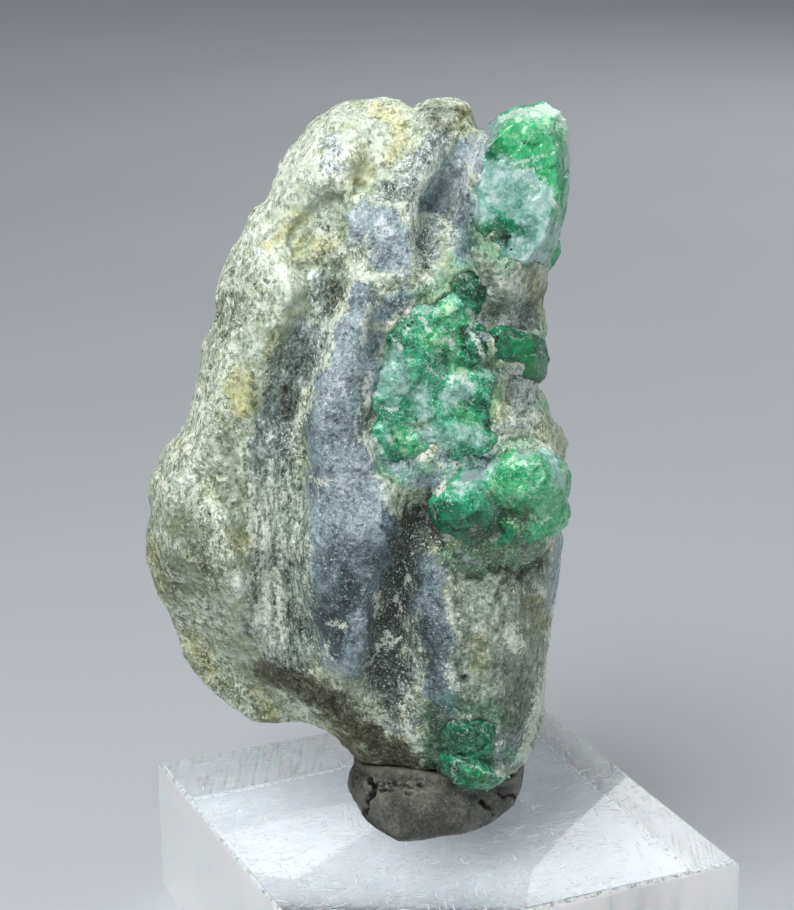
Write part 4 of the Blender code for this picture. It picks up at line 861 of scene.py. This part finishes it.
def putty_finish(look):
    """Dull grey putty with a greasy sheen, fine marks and grit, with painted shade in its hollows and
    cracks.
    """
    finish = Finish("mounting_putty", Specular_IOR_Level=0.4)
    cloud = finish.clouds(2.2, 4.0, 0.6)
    fine = finish.clouds(0.25, 3.0, 0.7, shift=3.0)
    # Painted shade: the putty's hollows are darkened down to near-black.
    hollow = finish.mask("hollow")
    colour = finish.ramp((cloud - 0.5) * 1.1 + (fine - 0.5) * 0.9 - hollow * 1.6 + 0.5, [
        (0.05, tint(10, 10, 9)), (0.3, tint(52, 52, 46)), (0.55, look.colour), (0.85, tint(124, 124, 112)),
    ])
    grit = finish.clouds(0.14, 1.0, 0.5, shift=8.0).between(0.69, 0.73)
    colour = finish.mix(grit * 0.5, colour, tint(186, 184, 170))
    # Painted shade in the pressed cracks: near-black lines.
    crack = (finish.mask("crack") + (fine - 0.5) * 1.6).between(0.3, 0.6)
    colour = finish.mix(crack, colour, tint(8, 8, 7))
    finish.set(Base_Color=colour, Roughness=0.62 - (cloud - 0.5) * 0.5)
    rub = finish.clouds((0.3, 0.3, 2.0), 3.0, 0.6, shift=6.0)
    finish.set(Normal=finish.bump(fine + rub * 0.5, 0.06, 0.6))
    return finish.material


def acrylic_finish(look):
    """Clear acrylic: polished above, with scratches, and sawn and frosted at the sides."""
    finish = Finish("clear_acrylic", IOR=1.49, Transmission_Weight=1.0, Base_Color=look.acrylic)
    normal = finish.node("ShaderNodeNewGeometry", {}, {}, "Normal")
    side, front, up = (finish.node("ShaderNodeSeparateXYZ", {}, {0: normal}, axis) for axis in range(3))
    sawn = (up * up).between(0.5, 0.1)
    rounded = (up * up).between(0.03, 0.2) * (up * up).between(0.98, 0.85)
    worn = rounded.most((side * side * front * front).between(0.01, 0.08))
    worn *= finish.clouds(0.5, 3.0, 0.7, shift=17.0).between(0.3, 0.55)
    saw = finish.clouds((0.35, 0.35, 6.0), 4.0, 0.6)
    wisp = finish.clouds(3.0, 4.0, 0.65, shift=4.0)
    scratches = None
    for number, angle in enumerate((12.0, 78.0, -34.0, 148.0)):
        turned = finish.node(
            "ShaderNodeMapping", {}, {"Vector": finish.turned, "Rotation": (0.0, 0.0, math.radians(angle))}
        )
        crooks = finish.clouds(5.0, 1.0, 0.5, "Color", shift=20.0 + number)
        bent = finish.vector("MULTIPLY_ADD", crooks, (1.2, 1.2, 0.0), turned)
        bent = finish.vector("DIVIDE", bent, (3.2, 0.24, 30.0))
        line = finish.voronoi(bent, "Distance").between(0.24, 0.1)
        here = finish.clouds(4.0, 2.0, 0.6, shift=30.0 + number).between(0.5, 0.6)
        scratches = line * here if scratches is None else scratches.most(line * here)
    frosted = finish.node(
        "ShaderNodeBsdfPrincipled", {}, {
            "Base Color": look.frost, "Roughness": 0.55, "IOR": 1.49, "Transmission Weight": 0.35,
            "Subsurface Weight": 0.6, "Subsurface Scale": 0.004,
        },
    )
    amount = sawn * ((saw - 0.5) * 1.6 + (wisp - 0.5) * 1.4 + 0.75).between(0.1, 0.9) * look.frosting
    haze = (wisp - 0.46).between(0.0, 0.3) * 0.22
    amount = amount.most((1.0 - sawn) * scratches * 0.8).most((1.0 - sawn) * haze)
    amount = amount.most(worn * 0.9)
    joined = finish.node(
        "ShaderNodeMixShader", {}, {0: amount, 1: Shade(finish, finish.surface.outputs[0]), 2: frosted}
    )
    finish.plug(finish.tree.nodes["Material Output"].inputs["Surface"], joined)
    finish.set(Roughness=sawn * 0.4 + 0.03)
    finish.set(Normal=finish.bump(saw * sawn + scratches * 0.2, 0.12, 0.5))
    return finish.material


def floor_finish(look):
    """A plain pale floor."""
    finish = Finish("pale_floor", Specular_IOR_Level=0.2)
    soft = finish.clouds(60.0, 2.0, 0.5)
    colour = finish.mix(soft.between(0.2, 0.8) * 0.12, look.floor, tint(214, 217, 220))
    finish.set(Base_Color=colour, Roughness=0.75)
    return finish.material


# ---------------------------------------------------------------------------------------------------
# Settings


class StoneSettings(bpy.types.PropertyGroup):
    """The matrix."""

    voxel: FloatProperty(
        name="Mesh size", description="Spacing of the stone's mesh", default=0.000226, unit="LENGTH",
    )
    relief: FloatProperty(
        name="Relief", description="How rough the broken surface is", default=1.0, min=0.0, max=3.0,
    )
    # Strength of the painted shade in hollows and of the painted light on proud points.
    hollow_shade_strength: FloatProperty(
        name="Dark hollows", description="How much darker hollows are", default=1.8, min=0.0,
    )
    wear: IntProperty(
        name="Wear", description="How many rounds soften the ledges of the front", default=50, min=0,
    )
    lap: FloatProperty(
        name="Lap", description="How far the stone laps up round a crystal, in mm", default=0.3, min=0.0,
    )
    bed: FloatProperty(
        name="Bed", description="How far it falls back under a crystal, in mm", default=0.62, min=0.0,
    )


class EmeraldSettings(bpy.types.PropertyGroup):
    """The emeralds."""

    voxel: FloatProperty(
        name="Mesh size", description="Spacing of the crystals' mesh", default=0.00011, unit="LENGTH",
    )
    clearness: FloatProperty(
        name="Clearness", description="Share of the light that goes through",
        default=0.1, subtype="FACTOR", max=1.0,
    )
    deep: FloatVectorProperty(
        name="Deep green", description="In clear thick places", subtype="COLOR", default=tint(3, 80, 55),
    )
    middle: FloatVectorProperty(
        name="Green", description="The usual green", subtype="COLOR", default=tint(10, 120, 82),
    )
    bright: FloatVectorProperty(
        name="Bright green", description="Near the surface", subtype="COLOR", default=tint(14, 158, 112),
    )
    pale: FloatVectorProperty(
        name="Pale green", description="In veils", subtype="COLOR", default=tint(74, 193, 152),
    )


class HolderSettings(bpy.types.PropertyGroup):
    """The putty and the acrylic block."""

    putty_voxel: FloatProperty(
        name="Putty mesh size", description="Spacing of the putty's mesh",
        default=0.00016, unit="LENGTH",
    )
    colour: FloatVectorProperty(
        name="Putty", description="Colour of the putty", subtype="COLOR", default=tint(84, 85, 78),
    )
    acrylic: FloatVectorProperty(
        name="Acrylic", description="Colour of the clear acrylic",
        subtype="COLOR", default=tint(246, 249, 251),
    )
    frost: FloatVectorProperty(
        name="Frost", description="Colour of the sawn sides",
        subtype="COLOR", default=tint(244, 248, 250),
    )
    frosting: FloatProperty(
        name="Frosting", description="How frosted the sawn sides are", default=0.86,
        subtype="FACTOR", max=1.0,
    )
    edge: FloatProperty(name="Edge", description="Width of the worn edges", default=0.0004, unit="LENGTH")


class StudioSettings(bpy.types.PropertyGroup):
    """The floor, the lights and the camera."""

    floor: FloatVectorProperty(
        name="Floor", description="Colour of the floor", subtype="COLOR", default=tint(190, 193, 197),
    )
    key: FloatProperty(
        name="Key light", description="Power of the large light above and in front",
        default=0.36, unit="POWER",
    )
    fill: FloatProperty(
        name="Fill light", description="Power of the light at the right", default=0.28, unit="POWER",
    )
    back: FloatProperty(
        name="Back light", description="Power of the light behind", default=0.6, unit="POWER",
    )
    sky: FloatProperty(
        name="Surroundings", description="Strength of the grey surroundings", default=0.35, min=0.0,
    )
    lens: FloatProperty(
        name="Lens", description="Focal length of the camera", default=88.4, unit="CAMERA",
    )
    yaw: FloatProperty(
        name="Turn", description="How far the camera looks from Y towards X",
        default=math.radians(24.33), unit="ROTATION",
    )
    pitch: FloatProperty(
        name="Tilt", description="How far the camera looks down",
        default=math.radians(17.65), unit="ROTATION",
    )


# ---------------------------------------------------------------------------------------------------
# Pieces


def keep(piece, nodes, finish):
    """Gives a finished piece its finish and its place in the frame, where it stands for its nodes."""
    piece.data.materials.clear()
    piece.data.materials.append(finish)
    take(piece)
    bpy.ops.object.shade_smooth()
    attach(piece, "root")
    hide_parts(*nodes)


# Each piece of emerald: its nodes, how granular it is from 0 to 1, the height of its relief, and the size
# to which its grains are melted together, in millimetres.
CRYSTALS = {
    "emerald_top": (["emerald_top_crystal", "emerald_edge_chip"], 0.2, 0.1, 0.0),
    "emerald_mass": (["emerald_central_mass"], 1.0, 0.08, 0.34),
    "emerald_prism": (["emerald_dark_prism"], 0.15, 0.05, 0.0),
    "emerald_knobs": (["emerald_nodule"], 0.5, 0.11, 0.18),
    "emerald_tip": (["emerald_tip_crystal"], 1.0, 0.11, 0.0),
}


def settle_front(piece, wear):
    """Softens the ledges of the stone's front and fills its dent; gives each point's share of the fill."""
    points, _ = read_points(piece)
    x, z, depth, _ = face_points(points)
    facing = ease(-depth, 0.6, 2.4)[:, None]
    points += (averaged(piece, points, wear) - points) * facing * 0.85
    dented = ease(reach(x, z, DENTS), -1.8, 1.2)[:, None] * facing
    points += dented * DENT_DEPTH * MM * np.array((math.sin(FACE_TURN), -math.cos(FACE_TURN), 0.0))
    points += (averaged(piece, points, wear * 6) - points) * dented
    write_points(piece, points)
    return dented[:, 0]


def stone_relief(spots, masks):
    """The height of the broken surface, in millimetres: grainy, glassy or leafy as its regions are."""
    quartz = masks["quartz"]
    leafy = masks["streak"] * (1.0 - quartz)
    plain = (1.0 - quartz) * (1.0 - leafy)
    lumps = 0.08 * ripple(spots, 2.2, 2) + 0.07 * ripple(spots, 0.75, 3, 5.0)
    flakes = broken_faces(spots * (1.0, 1.0, 0.7), 1.3, 0.05, 0.025, 3)
    conchoidal = broken_faces(spots, 2.6, 0.05, 0.04, 5) + 0.04 * ripple(spots, 0.9, 3, 9.0)
    leaves = 0.08 * (1.0 - 2.0 * np.abs(ripple(spots, (0.6, 1.2, 4.0), 3, 21.0)))
    ledges = ripple(spots, (1.4, 2.4, 6.0), 2, 31.0) * 3.0
    ledges = 0.09 * (np.floor(ledges) + ease(ledges - np.floor(ledges), 0.35, 0.65))
    rise = plain * (lumps + flakes) + quartz * conchoidal + leafy * (leaves + ledges)
    rise += 0.05 * masks["pale"] * plain - 0.1 * masks["shade"] * plain + 0.06 * masks["frost"]
    return rise - 0.12 * masks["valley"] * plain * np.abs(ripple(spots, 0.6, 2, 63.0))


class EMERALD_OT_stone(bpy.types.Operator):
    """Make the matrix: schist, quartz and mica, broken and weathered, solid beneath the crystals"""

    bl_idname = "emerald.stone"
    bl_label = "Stone"

    def execute(self, context):
        look = context.scene.emerald_stone
        emeralds = [node for nodes, *_ in CRYSTALS.values() for node in nodes]
        beds = [merged_copy("bed", node, look.lap * MM) for node in emeralds]
        piece = solid("stone", [merged_copy("stone", "matrix"), *beds], look.voxel)
        dented = settle_front(piece, look.wear)
        points, normals = read_points(piece)
        x, z, depth, spots = face_points(points)
        front = 1.0 - ease(depth, 0.5, 3.0)
        beneath = distance_to(points, ["matrix"], 1.2) + 0.16 * ripple(spots, 0.55, 3, 44.0)
        bare = ease(beneath, 0.34, 0.6)
        bare *= 1.0 - front * ease(reach(x, z, LAPS) + 0.3 * ripple(spots, 0.6, 3, 47.0), -0.12, 0.12)
        astray = ease(depth, 1.5, 6.0) * 3.0  # behind, the bands of the front wander
        warp_x = ripple(spots, 1.3, 3) * 0.42 + astray * ripple(spots, 7.0, 2, 40.0)
        warp_z = ripple(spots, 1.6, 3, 17.0) * 0.5 + astray * ripple(spots, 9.0, 2, 60.0)
        masks = {}
        for name, shapes in STONE_REGIONS.items():
            soft = STONE_SOFTNESS.get(name, 0.9)
            masks[name] = ease(reach(x + warp_x, z + warp_z, shapes), -soft, soft)
            if name in ("green", "umber"):
                masks[name] *= front
        rise = stone_relief(spots, masks)
        chip = reach(x + 0.3 * warp_x, z + 0.3 * warp_z, [(None, RIDGE_CHIP)])
        rise += 0.16 * ease(chip, -0.08, 0.1) * front
        hole_x, hole_z, hole_radius = HOLE
        rise -= 0.5 * ease(hole_radius - np.hypot(x - hole_x, z - hole_z), -0.1, 0.2) * front
        rise = rise * look.relief * (1.0 - bare) - look.bed * bare
        write_points(piece, points + normals * rise[:, None] * MM)
        for name, mask in masks.items():
            write_mask(piece, name, mask)
        # Painted shade in hollows, and painted light on proud points, for the finish to read.
        hollow = np.clip(hollows(piece, 12), -0.08, 0.14) * (1.0 - bare) * (1.0 - 0.8 * dented)
        write_mask(piece, "hollow", hollow)
        keep(piece, ["matrix"], stone_finish(look))
        return {"FINISHED"}


def make_emerald(look, name, nodes, granular, relief, softened):
    """One piece of emerald, as the table of crystals has it, with the numbers that its finish reads."""
    parts = [merged_copy(name, node) for node in nodes]
    if softened:
        melted = solid(name, parts, softened * MM)
        modify(melted, "SMOOTH", factor=0.6, iterations=9)
        modify(melted, "DISPLACE", strength=softened * MM, mid_level=0.0)
        parts = [melted]
    piece = solid(name, parts, look.voxel)
    points, normals = read_points(piece)
    x, z, _, spots = face_points(points)
    rough = 0.45 * ripple(spots, 1.1, 3, 3.0) + 0.3 * ripple(spots, 0.4, 2, 8.0)
    shards = broken_faces(spots, 0.8, 0.16, 0.07, 7) * granular + broken_faces(spots, 1.9, 0.06, 0.03, 9)
    crumbly = ease(reach(x, z, CRYSTAL_REGIONS["stain"]), -0.4, 0.4) * 0.16 * ripple(spots, 0.7, 3, 33.0)
    rise = np.clip(relief * (rough + shards / 0.15) + crumbly, -0.2, 0.3)
    write_points(piece, points + normals * rise[:, None] * MM)
    warp = 0.28 * ripple(spots, 0.8, 3, 50.0)
    for mask, shapes in CRYSTAL_REGIONS.items():
        soft = CRYSTAL_SOFTNESS.get(mask, 0.6)
        bent = 0.3 * warp if mask == "speck" else warp
        write_mask(piece, mask, ease(reach(x + bent, z - bent, shapes), -soft, soft))
    write_mask(piece, "granular", np.full(len(points), granular))
    write_mask(piece, "rim", ease(-distance_to(points, ["matrix"], 1.0), -0.8, -0.3))
    # Painted shade for the finish: how deep each point lies in a hollow.
    write_mask(piece, "hollow", np.clip(hollows(piece, 10), -0.08, 0.1))
    return piece


class EMERALD_OT_crystals(bpy.types.Operator):
    """Make the emeralds, with each crystal or group of grown-together grains as one piece"""

    bl_idname = "emerald.crystals"
    bl_label = "Emeralds"

    def execute(self, context):
        look = context.scene.emerald_crystals
        finish = emerald_finish(look)
        for name, (nodes, granular, relief, softened) in CRYSTALS.items():
            piece = make_emerald(look, name, nodes, granular, relief, softened)
            keep(piece, nodes, finish)
        return {"FINISHED"}


class EMERALD_OT_putty(bpy.types.Operator):
    """Make the lump of putty, pressed round the stone's foot"""

    bl_idname = "emerald.putty"
    bl_label = "Putty"

    def execute(self, context):
        look = context.scene.emerald_holder
        piece = solid("putty_lump", [merged_copy("putty_lump", "putty")], look.putty_voxel)
        points, normals = read_points(piece)
        x, z, depth, spots = face_points(points)
        rise = 0.12 * ripple(spots, 2.6, 2) + 0.05 * ripple(spots, 0.8, 2, 4.0)
        cracks = np.abs(ripple(spots, (1.6, 1.6, 2.4), 3, 12.0))
        rise -= 0.45 * ease(-cracks, -0.05, 0.0) * ease(ripple(spots, 3.0, 1, 25.0), 0.0, 0.25)
        jag_x, jag_z = 0.3 * ripple(spots, 0.5, 3, 70.0), 0.3 * ripple(spots, 0.5, 3, 80.0)
        press = reach(x + jag_x, z + jag_z, PUTTY_CRACKS)
        rise -= 0.5 * ease(press, -0.12, 0.16) * (depth < 2.0)
        rise *= ease(points[:, 2] / MM, BLOCK_TOP, BLOCK_TOP + 0.45)
        rise += 0.34 * ease(-distance_to(points, ["matrix", "emerald_tip_crystal"], 1.0), -0.7, -0.32)
        rise += 0.28 * ease(-distance_to(points, ["acrylic_block"], 1.0), -0.5, -0.3)
        write_points(piece, points + normals * rise[:, None] * MM)
        # Painted shade for the finish: how deep each point lies in a hollow.
        write_mask(piece, "hollow", np.clip(hollows(piece, 14), -0.15, 0.3))
        # Where the cracks are painted with shade.
        write_mask(piece, "crack", ease(press, -0.12, 0.1) * (depth < 2.0))
        keep(piece, ["putty"], putty_finish(look))
        return {"FINISHED"}


class EMERALD_OT_block(bpy.types.Operator):
    """Make the display block of clear acrylic"""

    bl_idname = "emerald.block"
    bl_label = "Acrylic block"

    def execute(self, context):
        look = context.scene.emerald_holder
        low, high = (Vector(corner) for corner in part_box("acrylic_block"))
        clear_selection()
        bpy.ops.mesh.primitive_cube_add(size=1.0, location=(low + high) / 2.0)
        piece = context.object
        piece.name = piece.data.name = "display_block"
        piece.scale = high - low
        bpy.ops.object.transform_apply(location=True, rotation=False, scale=True)
        bpy.ops.object.mode_set(mode="EDIT")
        bpy.ops.mesh.select_all(action="DESELECT")
        shape = bmesh.from_edit_mesh(piece.data)
        for edge in shape.edges:
            edge.select = abs(edge.verts[0].co.z - edge.verts[1].co.z) > (high.z - low.z) / 2.0
        shape.select_flush(True)
        bmesh.update_edit_mesh(piece.data)
        bpy.ops.mesh.bevel(offset=CORNER, segments=5, affect="EDGES")
        bpy.ops.mesh.select_all(action="DESELECT")
        shape = bmesh.from_edit_mesh(piece.data)
        for edge in shape.edges:
            tops = [abs(face.normal.z) > 0.9 for face in edge.link_faces]
            edge.select = any(tops) and not all(tops)
        bmesh.update_edit_mesh(piece.data)
        bpy.ops.mesh.bevel(offset=look.edge, segments=3, affect="EDGES")
        bpy.ops.object.mode_set(mode="OBJECT")
        keep(piece, ["acrylic_block"], acrylic_finish(look))
        bpy.ops.object.shade_smooth_by_angle(angle=math.radians(30.0))
        piece.visible_shadow = False  # clear acrylic lets the light through to the floor
        return {"FINISHED"}


class EMERALD_OT_studio(bpy.types.Operator):
    """Make the pale floor, the soft lights, the surroundings and the camera"""

    bl_idname = "emerald.studio"
    bl_label = "Studio"

    def execute(self, context):
        look = context.scene.emerald_studio
        clear_selection()
        bpy.ops.mesh.primitive_plane_add(size=4.0, location=(0.0, 0.0, -0.0002))
        floor = context.object
        floor.name = floor.data.name = "floor"
        floor.data.transform(floor.matrix_world)
        floor.matrix_world.identity()
        floor.data.materials.append(floor_finish(look))

        level = Vector((math.sin(look.yaw), math.cos(look.yaw), 0.0))
        ahead = level * math.cos(look.pitch) - Vector((0.0, 0.0, math.sin(look.pitch)))
        right = Vector((math.cos(look.yaw), -math.sin(look.yaw), 0.0))
        lens = bpy.data.cameras.new("camera")
        lens.lens, lens.sensor_width, lens.clip_start = look.lens, SENSOR, 0.001
        camera = bpy.data.objects.new("camera", lens)
        camera.location = CAMERA_SPOT
        camera.rotation_euler = ahead.to_track_quat("-Z", "Y").to_euler()
        context.scene.collection.objects.link(camera)
        context.scene.camera = camera

        middle = Vector((0.0, 0.0, 0.034))
        lights = (
            ("key", look.key, 0.10, (-0.06, -0.10, 0.16)), ("fill", look.fill, 0.35, (0.34, -0.30, 0.10)),
            ("back", look.back, 0.30, (0.20, 0.34, 0.26)),
        )
        for name, power, size, (across, behind, above) in lights:
            spot = middle + level * behind + right * across + Vector((0.0, 0.0, above))
            lamp = bpy.data.lights.new(name, "AREA")
            lamp.energy, lamp.size = power, size
            placed = bpy.data.objects.new(name, lamp)
            placed.location = spot
            placed.rotation_euler = (middle - spot).to_track_quat("-Z", "Y").to_euler()
            context.scene.collection.objects.link(placed)

        world = bpy.data.worlds.new("surroundings")
        world.use_nodes = True
        world.node_tree.nodes["Background"].inputs["Color"].default_value = (0.86, 0.9, 0.95, 1.0)
        world.node_tree.nodes["Background"].inputs["Strength"].default_value = look.sky
        context.scene.world = world
        context.scene.view_settings.view_transform = "Standard"
        return {"FINISHED"}


class EMERALD_PT_panel(bpy.types.Panel):
    """The pieces and their settings"""

    bl_idname = "EMERALD_PT_panel"
    bl_label = "Emerald in matrix"
    bl_space_type = "VIEW_3D"
    bl_region_type = "UI"
    bl_category = "Emerald"

    def draw(self, context):
        for group, _, operators in GROUPS:
            settings = getattr(context.scene, group)
            box = self.layout.box()
            box.label(text=settings.bl_rna.name)
            for name in settings.bl_rna.properties.keys():
                if name not in {"rna_type", "name"}:
                    box.prop(settings, name)
            for operator in operators:
                box.operator(operator.bl_idname)


GROUPS = [
    ("emerald_studio", StudioSettings, [EMERALD_OT_studio]),
    ("emerald_holder", HolderSettings, [EMERALD_OT_block, EMERALD_OT_putty]),
    ("emerald_stone", StoneSettings, [EMERALD_OT_stone]),
    ("emerald_crystals", EmeraldSettings, [EMERALD_OT_crystals]),
]
OPERATORS = [operator for *_, operators in GROUPS for operator in operators]


def register():
    """Registers the settings, the operators and the panel."""
    for group, settings, _ in GROUPS:
        bpy.utils.register_class(settings)
        setattr(bpy.types.Scene, group, PointerProperty(type=settings))
    for shown in (*OPERATORS, EMERALD_PT_panel):
        bpy.utils.register_class(shown)


def unregister():
    """Takes them away again."""
    for shown in (EMERALD_PT_panel, *reversed(OPERATORS)):
        bpy.utils.unregister_class(shown)
    for group, settings, _ in GROUPS:
        delattr(bpy.types.Scene, group)
        bpy.utils.unregister_class(settings)


def main():
    """Makes every piece, in order."""
    register()
    for operator in OPERATORS:
        group, name = operator.bl_idname.split(".")
        getattr(getattr(bpy.ops, group), name)()


if __name__ == "__main__":
    main()
